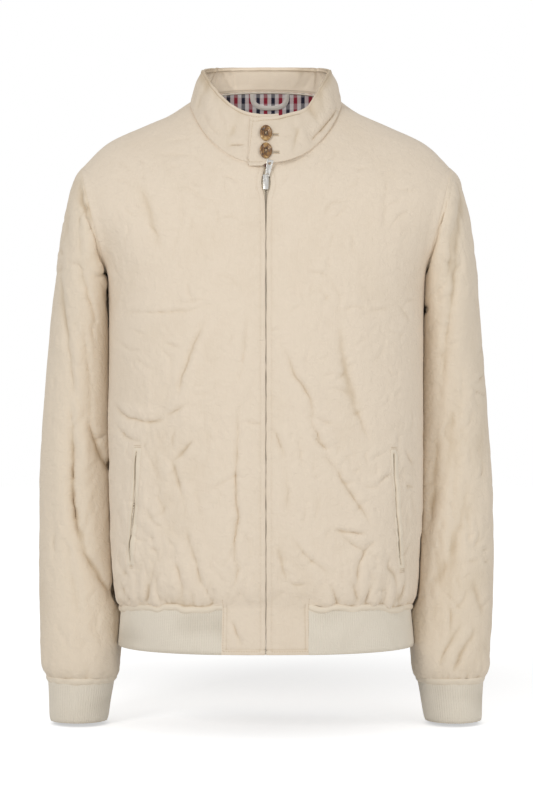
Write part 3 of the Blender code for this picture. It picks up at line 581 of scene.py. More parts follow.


# a mesh from vertices, faces, one uv per face corner and one value of painted shade per vertex
def addMesh(name, vertices, faces, material, uv=None, paintedShade=None):
    used, renumbered = np.unique(faces, return_inverse=True)
    faces = renumbered.reshape(faces.shape)
    mesh = bpy.data.meshes.new(name)
    mesh.from_pydata(vertices[used].tolist(), [], faces.tolist())
    if uv is not None:
        layer = mesh.uv_layers.new(name="cloth")
        layer.data.foreach_set("uv", uv.reshape(-1).astype(np.float32))
    if paintedShade is not None:
        layer = mesh.attributes.new("paintedShade", "FLOAT", "POINT")
        layer.data.foreach_set("value", paintedShade.reshape(-1)[used].astype(np.float32))
    mesh.shade_smooth()
    mesh.materials.append(material)
    return addObject(name, mesh)


# a sheet through a grid of points: quads turned outwards, a wall, and softly rounded rims
def addSheet(name, points, normals, material, wall, closed=False, keep=None, uv=None, paintedShade=None,
             inward=False, rim=0.0006):
    faces = gridFaces(*points.shape[:2], closed)
    flat = np.stack(gridLengths(wrapped(points) if closed else points), axis=-1) if uv is None else uv
    corners = gridCorners(flat)
    turned = np.sum(np.cross(np.gradient(points, axis=1), np.gradient(points, axis=0)) * normals) < 0
    if turned:
        faces, corners = faces[..., ::-1], corners[..., ::-1, :]
    chosen = np.ones(faces.shape[:2], bool) if keep is None else keep
    made = addMesh(name, points.reshape(-1, 3), faces[chosen], material, corners[chosen], paintedShade)
    thick = made.modifiers.new("wall", "SOLIDIFY")
    thick.thickness = wall
    thick.offset = -1.0 if inward else 1.0
    if rim:
        roundEdges(made, "rim", rim, 62.0)
    return made


# the widest row, the longest column and the area of a grid's surface: the piece's flat cut
def flatCut(points, keep=None):
    u, v = gridLengths(points)
    a = points[1:, 1:] - points[:-1, :-1]
    b = points[1:, :-1] - points[:-1, 1:]
    area = 0.5 * np.linalg.norm(np.cross(a, b), axis=2)
    if keep is not None:
        area = area * keep
    return (float(u[:, -1].max()), float(v[-1].max())), float(area.sum())


def declareSheet(made, node, points, keep=None):
    standFor(made, node)
    flat, area = flatCut(points, keep)
    flat = (flat[0], max(flat[1], 0.0102))      # a narrow strip is cut with a little for its turned edge


# bilinear reading of a grid at fractional rows and columns
def onGrid(grid, row, column):
    i = np.clip(np.floor(row).astype(int), 0, grid.shape[0] - 2)
    j = np.clip(np.floor(column).astype(int), 0, grid.shape[1] - 2)
    up = (row - i)[..., None]
    across = (column - j)[..., None]
    low = grid[i, j] * (1.0 - across) + grid[i, j + 1] * across
    high = grid[i + 1, j] * (1.0 - across) + grid[i + 1, j + 1] * across
    return low * (1.0 - up) + high * up


# the faces of one small shape, again for each of its copies
def repeatedFaces(faces, vertexCount, count):
    return (faces[None] + vertexCount * np.arange(count)[:, None, None]).reshape(-1, 4)


threadForm = {
    "pitch": 0.0031,
    "length": 0.0024,
    "radius": 0.00027,
}


# stitches along a path: at even steps a six-sided bar along the path, its ends drawn in and sunk
def stitchBars(path, normals, pitch=None, length=None, radius=None):
    pitch = pitch or threadForm["pitch"]
    length = length or threadForm["length"]
    radius = radius or threadForm["radius"]
    run = np.concatenate([[0.0], np.cumsum(np.linalg.norm(np.diff(path, axis=0), axis=1))])
    count = max(int(run[-1] / pitch), 1)
    at = (np.arange(count) + 0.5) * run[-1] / count

    def reading(values, places):
        return np.stack([np.interp(places, run, values[:, k]) for k in range(3)], axis=-1)

    centre = reading(path, at)
    out = reading(normals, at)
    out /= np.linalg.norm(out, axis=1, keepdims=True)
    along = reading(path, at + 0.3 * pitch) - reading(path, at - 0.3 * pitch)
    along /= np.maximum(np.linalg.norm(along, axis=1, keepdims=True), 1e-9)
    beside = np.cross(along, out)
    places = np.array([-0.5, -0.32, 0.32, 0.5]) * length
    sizes = np.array([0.45, 1.0, 1.0, 0.45]) * radius
    lifts = np.array([-0.9, 0.25, 0.25, -0.9]) * radius
    turn = np.arange(6) * math.pi / 3.0
    ring = (out[:, None, None] * np.cos(turn)[None, None, :, None]
            + beside[:, None, None] * np.sin(turn)[None, None, :, None]) * sizes[None, :, None, None]
    middle = (centre[:, None] + along[:, None] * places[None, :, None] + out[:, None] * lifts[None, :, None])
    vertices = (middle[:, :, None] + ring).reshape(-1, 3)
    caps = [[3, 2, 1, 0], [0, 5, 4, 3], [18, 19, 20, 21], [21, 22, 23, 18]]
    return vertices, repeatedFaces(np.concatenate([gridFaces(4, 6, True).reshape(-1, 4), caps]), 24, count)


# several runs of stitches as one mesh
def addStitches(name, runs, material):
    vertices = []
    faces = []
    count = 0
    for points, quads in runs:
        vertices.append(points)
        faces.append(quads + count)
        count += len(points)
    made = addMesh(name, np.concatenate(vertices), np.concatenate(faces), material)
    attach(made, "jacket")
    return made


# materials

asColour = {"output": 2, "data_type": "RGBA"}       # turns a Mix node into one for colours


# wave bands repeat every 2 pi over 20 times the scale
def bandScale(period):
    return 2.0 * math.pi / (20.0 * period)


def newMaterial(name):
    made = bpy.data.materials.new(name)
    made.use_nodes = True
    return made, made.node_tree, made.node_tree.nodes["Principled BSDF"]


cottonLook = {
    # light and dark colour of each cloth; the dark one takes both the mottle and the painted shade of the
    # creases
    "shell": ("#E6D7C3", "#D8C7AF"),
    "sleeve": ("#E4D5C0", "#D6C5AC"),
    # darker than the shell's colours: painted shade of the collar's folds
    "collar": ("#E1D2BE", "#D2C2A9"),
    # lighter than the shell's colours: painted light in the shade inside the collar
    "facing": ("#FBEBD5", "#EEDCC4"),
    "trim": ("#E5D8C4", "#D9CAB3"),
    "tape": ("#D8CBB5", "#C9BAA2"),
    "piping": ("#EDE3D3", "#DDD0BC"),
    # as light as cloth gets: painted light in the shade inside the neck
    "loop": ("#FFFAF3", "#F5ECE0"),
    "paleThread": ("#E0D1BC", "#D2C1A8"),
    "thread": ("#C9B495", "#B59D7D"),
    # a buttonhole's slit: painted shadow
    "slit": ("#8C7C68", "#6B5F50"),
    "creaseShade": "#C6B194",        # painted shade in the bottom of a crease, where light passes from cloth to cloth
    "deepShade": "#54493D",          # painted shadow inside a slit and in the collar's deepest crease
    "cloudScale": 22.0,         # mottles of about 45 mm, with finer ones in them
    "streakScale": (1100.0, 45.0, 1.0),     # upright streaks 1 mm wide and 22 mm long
    "threadSpacing": 0.0009,    # the real 0.4 mm threads are too fine to show, so drawn twice as coarse
    "threadHeight": 0.0002,
    "wrinkleSize": 0.009,
    "wrinkleHeight": 0.0016,
}


# washed plain-weave cotton: matt, softly mottled, fine upright streaks, with painted shade in its creases
# and a little painted light on its ridges
def wovenCotton(name, colours, wrinkle=0.85, weave=0.25, mottle=0.30):
    made, tree, shader = newMaterial(name)
    look = cottonLook
    light, dark = (hexColour(code) for code in look[colours])
    flat, solid = (addNode(tree, "TexCoord", output=key) for key in ("UV", "Object"))
    cloud = {"Vector": solid, "Scale": look["cloudScale"], "Detail": 5.0, "Roughness": 0.62}
    cloud = addNode(tree, "TexNoise", cloud)
    drawn = addNode(tree, "Mapping", {"Vector": flat, "Scale": look["streakScale"]})
    streak = addNode(tree, "TexNoise", {"Vector": drawn, "Scale": 1.0, "Detail": 2.0})
    paintedShade = addNode(tree, "Attribute", output="Fac", attribute_name="paintedShade")
    # 2.4 mottles of the clouds above 0.42, half of the streaks above 0.5, and the painted shade of the
    # hollows on top
    shade = -0.42 * 2.4 * mottle - 0.25
    for pattern, share in ((cloud, 2.4 * mottle), (streak, 0.5), (paintedShade, 0.55)):
        shade = addNode(tree, "Math", {0: pattern, 1: share, 2: shade}, operation="MULTIPLY_ADD")
    # painted shade: the crease colour grows in the bottom of creases
    creaseShade = addNode(tree, "MapRange", {"Value": paintedShade, "From Min": 0.3, "From Max": 1.0, "To Max": 0.6})
    # painted shadow: near black where the painted shade goes past 1, inside slits and the deepest crease
    deepShade = addNode(tree, "Math", {0: paintedShade, 1: 1.0}, operation="SUBTRACT", use_clamp=True)
    cloth = light
    creaseShadeColour, deepShadeColour = (hexColour(look[key]) for key in ("creaseShade", "deepShade"))
    for share, colour in ((shade, dark), (creaseShade, creaseShadeColour), (deepShade, deepShadeColour)):
        cloth = addNode(tree, "Mix", {0: share, 6: cloth, 7: colour}, **asColour)
    wave = {"Vector": flat, "Scale": bandScale(look["threadSpacing"]), "Distortion": 1.2, "Detail": 1.0}
    warp, weft = (addNode(tree, "TexWave", wave, output="Fac", bands_direction=way) for way in "XY")
    threads = addNode(tree, "Math", {0: warp, 1: weft})
    rumple = {"Scale": 1.0 / look["wrinkleSize"], "Detail": 4.0, "Roughness": 0.55, "Distortion": 0.9}
    rumple = addNode(tree, "TexNoise", {"Vector": solid, **rumple})
    normal = addNode(tree, "Bump", {"Strength": weave, "Distance": look["threadHeight"], "Height": threads})
    normal = {"Strength": wrinkle, "Distance": look["wrinkleHeight"], "Height": rumple, "Normal": normal}
    setInputs(tree, shader, {
        "Base Color": cloth,
        "Normal": addNode(tree, "Bump", normal),
        "Roughness": 0.86,
        "Sheen Weight": 0.12,
        "Sheen Roughness": 0.5,
        "Specular IOR Level": 0.3,
    })
    return made


knitLook = {
    "light": "#E2D9C9",
    "dark": "#D1C7B6",
    "courseHeight": 0.0018,     # rows of stitches up each rib, drawn a little coarse so that they show
    "loopHeight": 0.0003,
    "fuzzScale": 900.0,         # fibres of about 1 mm
}


# cotton rib knit: matt raised ribs with rows of loops across them, shaded in the furrows
def ribKnit(name):
    made, tree, shader = newMaterial(name)
    look = knitLook
    flat, solid = (addNode(tree, "TexCoord", output=key) for key in ("UV", "Object"))
    cloud = addNode(tree, "TexNoise", {"Vector": solid, "Scale": 30.0, "Detail": 5.0})
    paintedShade = addNode(tree, "Attribute", output="Fac", attribute_name="paintedShade")
    shade = addNode(tree, "Math", {0: cloud, 1: 0.9, 2: -0.45 * 0.9}, operation="MULTIPLY_ADD")
    shade = addNode(tree, "Math", {0: shade, 1: paintedShade}, use_clamp=True)
    wave = {"Vector": flat, "Scale": bandScale(look["courseHeight"]), "Distortion": 2.0, "Detail": 2.0}
    loops = addNode(tree, "TexWave", wave, output="Fac", bands_direction="Y")
    fuzz = addNode(tree, "TexNoise", {"Vector": solid, "Scale": look["fuzzScale"], "Detail": 2.0})
    height = addNode(tree, "Math", {0: fuzz, 1: 0.6, 2: loops}, operation="MULTIPLY_ADD")
    bump = {"Strength": 0.35, "Distance": look["loopHeight"], "Height": height}
    light, dark = hexColour(look["light"]), hexColour(look["dark"])
    setInputs(tree, shader, {
        "Base Color": addNode(tree, "Mix", {0: shade, 6: light, 7: dark}, **asColour),
        "Normal": addNode(tree, "Bump", bump),
        "Roughness": 0.92,
        "Sheen Weight": 0.2,
        "Sheen Roughness": 0.45,
        "Specular IOR Level": 0.25,
    })
    return made


checkLook = {
    "red": "#AE1638",
    "navy": "#151A3A",
    "white": "#FFFAFC",
    "columnPitch": 0.01005,     # from the middle of one coloured column to the next
    "redMiddle": -0.0005,
    "rowPitch": 0.01495,
    "rowMiddle": 0.0174,
    "threadPull": 0.0009,       # how far threads wander sideways
    "threadSpacing": 0.0008,
}


# brushed cotton check: red and navy warp columns on white, crossed by coloured and by plain weft rows
def checkedCotton(name):
    made, tree, shader = newMaterial(name)
    look = checkLook
    flat = addNode(tree, "TexCoord", output="UV")
    pull = addNode(tree, "TexNoise", {"Vector": flat, "Scale": 700.0, "Detail": 2.0}, output="Color")
    reach = (look["threadPull"], look["threadPull"], 0.0)
    moved = addNode(tree, "VectorMath", {0: pull, 1: reach, 2: flat}, operation="MULTIPLY_ADD")

    # 1 inside a stripe of half the pitch, 0 outside, blended over a soft edge
    def stripes(axis, middle, pitch, soft):
        place = addNode(tree, "SeparateXYZ", {0: moved}, output=axis)
        middle = middle + 0.5 * look["threadPull"]
        place = {0: place, 1: 1.0 / pitch, 2: 0.5 - middle / pitch}
        place = addNode(tree, "Math", place, operation="MULTIPLY_ADD")
        place = addNode(tree, "Math", {0: place}, operation="FRACT")
        away = addNode(tree, "Math", {0: place, 1: 0.5}, operation="SUBTRACT")
        away = addNode(tree, "Math", {0: away}, operation="ABSOLUTE")
        edge = {"Value": away, "From Min": 0.25 + soft, "From Max": 0.25 - soft}
        return addNode(tree, "MapRange", edge, interpolation_type="SMOOTHSTEP")

    column, redColumn = (stripes("X", look["redMiddle"], times * look["columnPitch"], soft)
                         for times, soft in ((1.0, 0.05), (2.0, 0.01)))
    row, redRow = (stripes("Y", look["rowMiddle"], times * look["rowPitch"], soft)
                   for times, soft in ((1.0, 0.05), (2.0, 0.01)))
    red, navy, white = (hexColour(look[key]) for key in ("red", "navy", "white"))
    warp = addNode(tree, "Mix", {0: redColumn, 6: navy, 7: red}, **asColour)
    weft = addNode(tree, "Mix", {0: redRow, 6: navy, 7: red}, **asColour)
    # a coloured row tints the white by 0.22; a coloured column covers 0.72, or 0.98 where a row crosses it
    tint = addNode(tree, "Math", {0: row, 1: 0.22}, operation="MULTIPLY")
    cover = addNode(tree, "Math", {0: row, 1: 0.26, 2: 0.72}, operation="MULTIPLY_ADD")
    cover = addNode(tree, "Math", {0: column, 1: cover}, operation="MULTIPLY")
    cloth = addNode(tree, "Mix", {0: tint, 6: white, 7: weft}, **asColour)
    wave = {"Vector": flat, "Scale": bandScale(look["threadSpacing"]), "Distortion": 1.0}
    threads = addNode(tree, "TexWave", wave, output="Fac", bands_direction="DIAGONAL")
    setInputs(tree, shader, {
        "Base Color": addNode(tree, "Mix", {0: cover, 6: cloth, 7: warp}, **asColour),
        "Normal": addNode(tree, "Bump", {"Strength": 0.3, "Distance": 0.0002, "Height": threads}),
        "Roughness": 0.9,
        "Sheen Weight": 0.1,
    })
    return made


# polished nickel plate on brass or zinc: bright and neutral, faintly uneven in marks of 2 mm from tumbling
def nickelPlate(name, colour="#F4F2EE", worn="#D2CFC8", roughness=0.26):
    made, tree, shader = newMaterial(name)
    solid = addNode(tree, "TexCoord", output="Object")
    wear = addNode(tree, "TexNoise", {"Vector": solid, "Scale": 600.0, "Detail": 3.0})
    span = {"From Min": 0.3, "From Max": 0.7, "To Min": roughness - 0.06, "To Max": roughness + 0.10}
    setInputs(tree, shader, {
        "Base Color": addNode(tree, "Mix", {0: wear, 6: hexColour(colour), 7: hexColour(worn)}, **asColour),
        "Roughness": addNode(tree, "MapRange", {"Value": wear, **span}),
        "Normal": addNode(tree, "Bump", {"Strength": 0.08, "Distance": 0.0002, "Height": wear}),
        "Metallic": 1.0,
    })
    return made


hornLook = {
    # share of the marbling and the colour there
    "marbling": ((0.33, "#33200F"), (0.47, "#7D552A"), (0.58, "#A9824A"), (0.68, "#DDBE86")),
    "marbleScale": 95.0,        # swirls of about 10 mm
}


# polished horn: brown with darker and honey-coloured marbling, a clear gloss
def polishedHorn(name):
    made, tree, shader = newMaterial(name)
    solid = addNode(tree, "TexCoord", output="Object")
    swirl = {"Scale": hornLook["marbleScale"], "Detail": 4.0, "Roughness": 0.55, "Distortion": 1.4}
    colour = addNode(tree, "ValToRGB", {0: addNode(tree, "TexNoise", {"Vector": solid, **swirl})})
    stops = colour.node.color_ramp.elements
    while len(stops) < len(hornLook["marbling"]):
        stops.new(0.5)
    for stop, (place, code) in zip(stops, hornLook["marbling"]):
        stop.position = place
        stop.color = hexColour(code)
    setInputs(tree, shader, {
        "Base Color": colour,
        "Roughness": 0.28,
        "IOR": 1.55,
        "Coat Weight": 0.35,
        "Coat Roughness": 0.12,
    })
    return made


shellCotton = wovenCotton("washed_cotton_shell", "shell")
sleeveCotton = wovenCotton("washed_cotton_sleeve", "sleeve")
# the collar's darker colours are painted shade
collarCotton = wovenCotton("washed_cotton_collar_painted_shade", "collar")
# the facing's lighter colours are painted light
facingCotton = wovenCotton("facing_cotton_painted_light", "facing", wrinkle=0.2)
trimCotton = wovenCotton("washed_cotton_trim", "trim", wrinkle=0.2)
tapeCotton = wovenCotton("cotton_zip_tape", "tape", wrinkle=0.05, weave=0.5)
pipingCotton = wovenCotton("bias_cotton_piping", "piping", wrinkle=0.05, weave=0.5)
# the loop's near white colours are painted light
loopCotton = wovenCotton("loop_cotton_painted_light", "loop", wrinkle=0.1, mottle=0.1)
# the buttonhole slits' dark colours are painted shadow
slitShadow = wovenCotton("buttonhole_slit_painted_shadow", "slit", wrinkle=0.0, weave=0.0)
threadPolyester = wovenCotton("tan_sewing_thread", "thread", wrinkle=0.0, weave=0.0)
paleThread = wovenCotton("pale_sewing_thread", "paleThread", wrinkle=0.0, weave=0.0)
ribCotton = ribKnit("rib_knit_cotton")
liningCotton = checkedCotton("checked_lining_cotton")
nickel = nickelPlate("nickel_plated_zinc")
# the teeth are a darker copy of the slider's nickel: painted shade of the slit they sit in
toothNickel = nickelPlate("nickel_plated_brass_teeth_painted_shade", "#A59C8F", "#7E756A", 0.42)
horn = polishedHorn("polished_horn")
print("materials made")


# fronts

frontForm = {
    "columns": (24, 96),        # steps inside the block's width and from there to the side
    "rows": (36, 280),          # steps below and above the top of the rib
    "stitchFromEdge": 0.0062,   # topstitching beside the zip
    "blockStitch": 0.0062,      # and inside the block's foot and side
    "edgeDip": (0.0010, 0.0016),    # depth and half width of a groove, here and below
    "stitchDip": (0.0007, 0.0013),
    "blockDip": (0.0009, 0.0013),
    "footDip": (0.0006, 0.0020),
    "pucker": 0.0005,           # small waves beside the topstitching
    "edgeCloses": 0.0004,       # how far each edge comes over the teeth
    "gatherDepth": 0.0050,
    "gatherPitch": 0.017,
    "gatherReach": 0.034,
    "strewn": 0.8,              # share of full depth of the small wrinkles
    "wrinkleCount": 46,
    # where they lie: x from and to, z from and to, all in mm, and their lean in degrees
    "wrinkled": [(32, 190, -632, -400, 10), (32, 190, -400, -70, 40)],
    # each crease: depth and half width in mm, then its course as x and z in mm
    "right": [
        (1.0, 3.0, -158, -441, -162, -509, -168, -586),
        (2.0, 4.0, -73, -285, -86, -308, -97, -338, -105, -360, -108, -383),
        (1.3, 3.5, -24, -271, -26, -312, -31, -349, -39, -373),
        (1.1, 3.2, -179, -271, -142, -274, -105, -273, -66, -265), (0.9, 3.0, -108, -264, -78, -259),
        (0.8, 3.0, -168, -295, -149, -302), (1.0, 3.0, -128, -312, -104, -319),
        (1.4, 9.0, -164, -108, -150, -134, -140, -167, -129, -204),
        (0.6, 3.5, -118, -120, -99, -118, -78, -134, -57, -139),
        (0.5, 3.5, -126, -57, -108, -53, -89, -55), (0.5, 3.5, -144, -73, -105, -75, -77, -81),
        (0.6, 4.0, -108, -134, -104, -156, -113, -191, -118, -215),
        (2.0, 4.0, -194, -386, -183, -399, -168, -407, -147, -410, -126, -408),
        (1.5, 4.5, -126, -403, -108, -395, -92, -384), (1.8, 4.0, -192, -412, -175, -430, -157, -436),
        (1.9, 3.6, -91, -432, -101, -446, -114, -460), (1.4, 3.6, -118, -456, -110, -482, -100, -511),
        (1.0, 3.2, -75, -499, -53, -485, -35, -477, -23, -481),
        (2.3, 4.2, -32, -384, -35, -415, -36, -462, -37, -493, -35, -529, -39, -566, -36, -600, -43, -618),
        (1.1, 3.2, -31, -412, -17, -411, -2, -413), (1.0, 3.2, -31, -545, -17, -561),
        (1.7, 4.0, -99, -540, -91, -571, -79, -610, -65, -637),
        (1.2, 3.4, -152, -519, -138, -538, -129, -542), (2.2, 4.2, -113, -584, -106, -605, -103, -630),
        (2.0, 4.0, -148, -613, -147, -628, -155, -640), (2.4, 4.2, -184, -613, -175, -632, -166, -640),
        (1.6, 3.6, -71, -607, -63, -626, -67, -640), (0.9, 3.4, -153, -554, -138, -557),
        (0.9, 3.4, -146, -568, -133, -573), (1.4, 3.4, -186, -585, -178, -604, -169, -608),
        (0.9, 5.0, -191, -509, -182, -545, -174, -576), (1.8, 3.4, -44, -653, -36, -673, -28, -691),
        (0.7, 4.0, -139, -446, -136, -469, -131, -488), (0.8, 4.0, -69, -423, -71, -451, -77, -472),
    ],
    "left": [
        (1.0, 3.0, 158, -444, 163, -509, 168, -582),
        (2.3, 4.5, 17, -309, 27, -331, 35, -351, 51, -374, 57, -394, 58, -407),
        (2.2, 4.2, 53, -399, 59, -417, 70, -436, 76, -447), (1.4, 3.4, 54, -400, 70, -409, 84, -412),
        (1.8, 3.4, 56, -425, 65, -436, 76, -445),
        (2.2, 4.2, 70, -450, 83, -464, 96, -485, 112, -509, 125, -529, 129, -540),
        (1.0, 3.2, 93, -484, 112, -487), (1.8, 9.0, 88, -277, 95, -325, 101, -359, 109, -384, 119, -408),
        (1.3, 5.0, 109, -391, 119, -412, 129, -437), (2.6, 3.6, 84, -544, 104, -548, 126, -551),
        (2.0, 3.6, 93, -551, 109, -563, 123, -573),
        (2.4, 4.2, 136, -560, 125, -570, 117, -587, 114, -607, 117, -632),
        (1.3, 3.4, 126, -573, 142, -585), (1.6, 3.6, 33, -553, 49, -576, 63, -587, 81, -600),
        (1.1, 3.4, 28, -605, 38, -613, 48, -613), (2.0, 3.8, 80, -610, 86, -627, 91, -640),
        (1.8, 3.6, 105, -605, 111, -622, 116, -637), (1.8, 3.6, 132, -614, 127, -628, 123, -640),
        (1.6, 4.0, 156, -576, 153, -592, 163, -606, 166, -630),
        (2.0, 3.8, 177, -610, 173, -627, 164, -637), (1.0, 3.2, 130, -459, 151, -447),
        (1.4, 3.4, 135, -495, 148, -480, 158, -475), (0.9, 3.4, 119, -491, 140, -493),
        (1.5, 3.4, 174, -446, 181, -458, 189, -467), (1.9, 3.2, 176, -492, 188, -494),
        (1.1, 3.2, 172, -479, 177, -488), (1.2, 4.0, 12, -561, 20, -587, 26, -609),
        (1.9, 4.0, 9, -417, 17, -436, 23, -459), (1.2, 5.0, 23, -462, 27, -493, 25, -524),
        (0.8, 4.5, 151, -115, 148, -140, 149, -169), (1.0, 4.0, 82, -236, 91, -261, 89, -278),
        (0.9, 3.2, 91, -276, 109, -267, 126, -272), (0.8, 3.2, 127, -273, 142, -270, 157, -267),
        (1.0, 3.4, 165, -262, 177, -277, 184, -286), (0.8, 3.4, 64, -246, 76, -257, 88, -274),
        (0.8, 3.0, 4, -296, 18, -298), (0.8, 3.0, 7, -307, 23, -309),
        (0.8, 3.4, 28, -97, 24, -106, 20, -114), (0.6, 5.0, 37, -312, 36, -329, 40, -343),
    ],
}

seamForm = {
    "sideFlat": (-0.004, 0.016),    # the padding grows between these distances from a seam
    "neckFlat": (-0.002, 0.012),
    "weltFlat": (0.0, 0.010),
    "weltShare": 0.35,          # what is left of the padding at a welt
    "sideDip": (0.0010, 0.0022),
    "neckDip": (0.0008, 0.0030),
}

outerSide = {}      # outer grid, normals and parameters of each panel that something is sewn onto


# share of the padding's height near a side seam, a welt and a neck seam
def paddingShare(toSide, toWelt, toNeck=1.0):
    form = seamForm
    share = ramp(toSide, *form["sideFlat"]) * ramp(toNeck, *form["neckFlat"])
    return share * (form["weltShare"] + (1.0 - form["weltShare"]) * ramp(toWelt, *form["weltFlat"]))


# the front's grid of shares and rows, with evenly long steps and a row and column on the block's corner
def frontSteps():
    dense = np.linspace(0.0, neckRow, 4001)
    curve = torsoPoint(0.35, dense, False)
    below = dense <= bodiceRow
    low, high = frontForm["rows"]
    rows = [evenSteps(dense[below], curve[below], low)[:-1], evenSteps(dense[~below], curve[~below], high)]
    rows = np.concatenate(rows)
    rows[low] = bodiceRow
    block = bodyForm["blockShare"]
    inside, outside = frontForm["columns"]
    shares = [np.linspace(0.0, block, inside + 1)[:-1], np.linspace(block, 1.0, outside + 1)]
    return np.concatenate(shares), rows


gatherForm = {
    "line": (0.0017, 0.0012),   # depth and half width of the sewn line, and how far it is from the welt
    "lineAt": 0.0014,
    "pucker": (0.0020, 0.0060),
    "puckerAt": 0.0030,
    "puckerCell": (0.0065, 0.0065, 0.05),
}


# the sewn line over a welt: a narrow uneven groove, and small puckers that run out of it
def gatherLine(base, away, seed):
    form = gatherForm
    uneven = 0.7 + 0.7 * clothNoise(base, (0.016, 0.016, 0.05), seed)
    fine = np.abs(clothNoise(base, form["puckerCell"], seed + 1)) - 0.3
    line, pucker = (groove(away - form[key + "At"], form[key]) for key in ("line", "pucker"))
    return np.stack([uneven * line, fine * pucker])


# a body panel's sheet, with painted shade in its hollows: darker the further they lie under the padding,
# most in the sewn line
def finishPanel(name, node, base, points, normals, crumpled, line, height, keep=None):
    paintedShade = np.clip((0.6 * crumpled + 1.2 * line - height) / shadeDepth["panel"], -0.5, 1.0)
    made = addSheet(name, points, normals, shellCotton, bodyForm["shellWall"], keep=keep, paintedShade=paintedShade)
    declareSheet(made, node, base, keep)


# a front: the torso's wall, moved along its normals by padding, creases, gathers and sewn lines
def makeFront(name, node, side, seed):
    form = frontForm
    block = bodyForm["blockShare"]
    shares, rows = frontSteps()
    edge = frontEdge(smoothColumn(torsoTable[:, 3], rows[:, None]))
    base = mirrored(torsoPoint(shares[None], rows[:, None], False, edge), side)
    base = bridged(base, shares, rows, gridLengths(base)[1])
    normals = outwardNormals(base, bodyMiddle(base))
    u, v = gridLengths(base)
    toSide = u[:, -1:] - u
    toNeck = v[-1:] - v
    z = base[..., 2]
    hemRow = form["rows"][0]
    aboveWelt = np.maximum(v - v[hemRow:hemRow + 1], 0.0)
    # the padding is calm over the chest and livelier further down
    lively = 0.55 + 0.45 * ramp(-z, 0.28, 0.42) + 0.35 * ramp(-z, 0.52, 0.60)
    height = crumple(base, seed) * lively * paddingShare(toSide, aboveWelt, toNeck) * ramp(u, 0.001, 0.020)
    crumpled = height.copy()
    height += strokeHeight(base, form["right" if side < 0 else "left"])
    strewn = []
    for draw, (near, far, low, high, lean) in enumerate(form["wrinkled"]):
        near, far = sorted((near * side, far * side))
        strewn += smallCreases(form["wrinkleCount"], (near, low, far, high), lean * side, seed + draw)
    height += form["strewn"] * strokeHeight(base, strewn)
    height += gathers(base, aboveWelt, form, seed + 20) * ramp(shares[None], block, block + 0.03)
    height -= groove(u, form["edgeDip"]) + groove(u - form["stitchFromEdge"], form["stitchDip"])
    pucker = clothNoise(base, (0.03, 0.03, 0.009), seed + 30)
    height += form["pucker"] * pucker * bell(u - form["stitchFromEdge"] - 0.003, 0.006)
    height -= groove(toSide, seamForm["sideDip"]) + groove(toNeck, seamForm["neckDip"])
    height -= groove(v, form["footDip"])
    line, puckers = gatherLine(base, aboveWelt, seed + 40) * ramp(shares, block, block + 0.02)
    # the block's sewn edge: a groove along its side and foot
    toBlock = u[:, form["columns"][0], None] - u
    onFoot = ramp(aboveWelt, 0.004, 0.0)
    foot = groove(v - form["blockStitch"], form["blockDip"]) * ramp(toBlock, 0.0, 0.004)
    flank = groove(toBlock - form["blockStitch"], form["blockDip"]) * ramp(v, 0.004, 0.008)
    line = line + (foot + flank) * onFoot
    height = height - line + puckers
    points = base + height[..., None] * normals
    points[..., 2] -= hemDrop(base) * ramp(aboveWelt, 0.034, 0.0) * ramp(shares, block, block + 0.10)
    # the two edges almost meet over the teeth, unevenly, below the slider
    closing = form["edgeCloses"] * (1.0 + 1.3 * clothNoise(base, (0.5, 0.5, 0.014), seed + 50))
    points[..., 0] -= side * closing * bell(u, 0.004) * ramp(-z, 0.150, 0.180)
    keep = (rows[:-1, None] >= bodiceRow) | (shares[None, 1:] <= block + 1e-9)
    finishPanel(name, node, base, points, normals, crumpled, line, height, keep)
    outward = outwardNormals(points, bodyMiddle(points))
    outerSide[name] = (points + bodyForm["shellWall"] * outward, outward, shares, rows)


for name, node, side, seed in (("frontRight", "front_right", -1.0, 11),
                               ("frontLeft", "front_left", 1.0, 57)):
    makeFront(name, node, side, seed)
print("fronts made")


# back

backForm = {
    "columns": 140,
    "rows": 205,
    "wrinkleCount": 110,
    "wrinkled": (-190, -640, 190, -80),
    "gatherDepth": 0.0034,
    "gatherPitch": 0.018,
    "gatherReach": 0.034,
    "creases": [
        (1.9, 8.1, -150, -330, -118, -372, -80, -398),
        (2.1, 8.1, -62, -250, -80, -312, -84, -380, -104, -430), (1.6, 9.5, 8, -262, -6, -330, -18, -392),
        (2.4, 8.1, -20, -420, 6, -462, 38, -505, 52, -560), (1.8, 6.8, -140, -430, -110, -470, -92, -520),
        (2.1, 6.8, 70, -300, 92, -352, 96, -410, 122, -468), (1.9, 6.1, 60, -430, 96, -444, 138, -442),
        (1.8, 6.8, -60, -520, -70, -566, -52, -620), (1.9, 6.8, 100, -520, 84, -570, 92, -622),
        (1.4, 10.8, -120, -110, -90, -150, -84, -210), (1.4, 10.8, 128, -118, 96, -160, 84, -222),
        (1.6, 6.8, 150, -350, 178, -392), (1.6, 6.8, -186, -402, -160, -446),
    ],
}


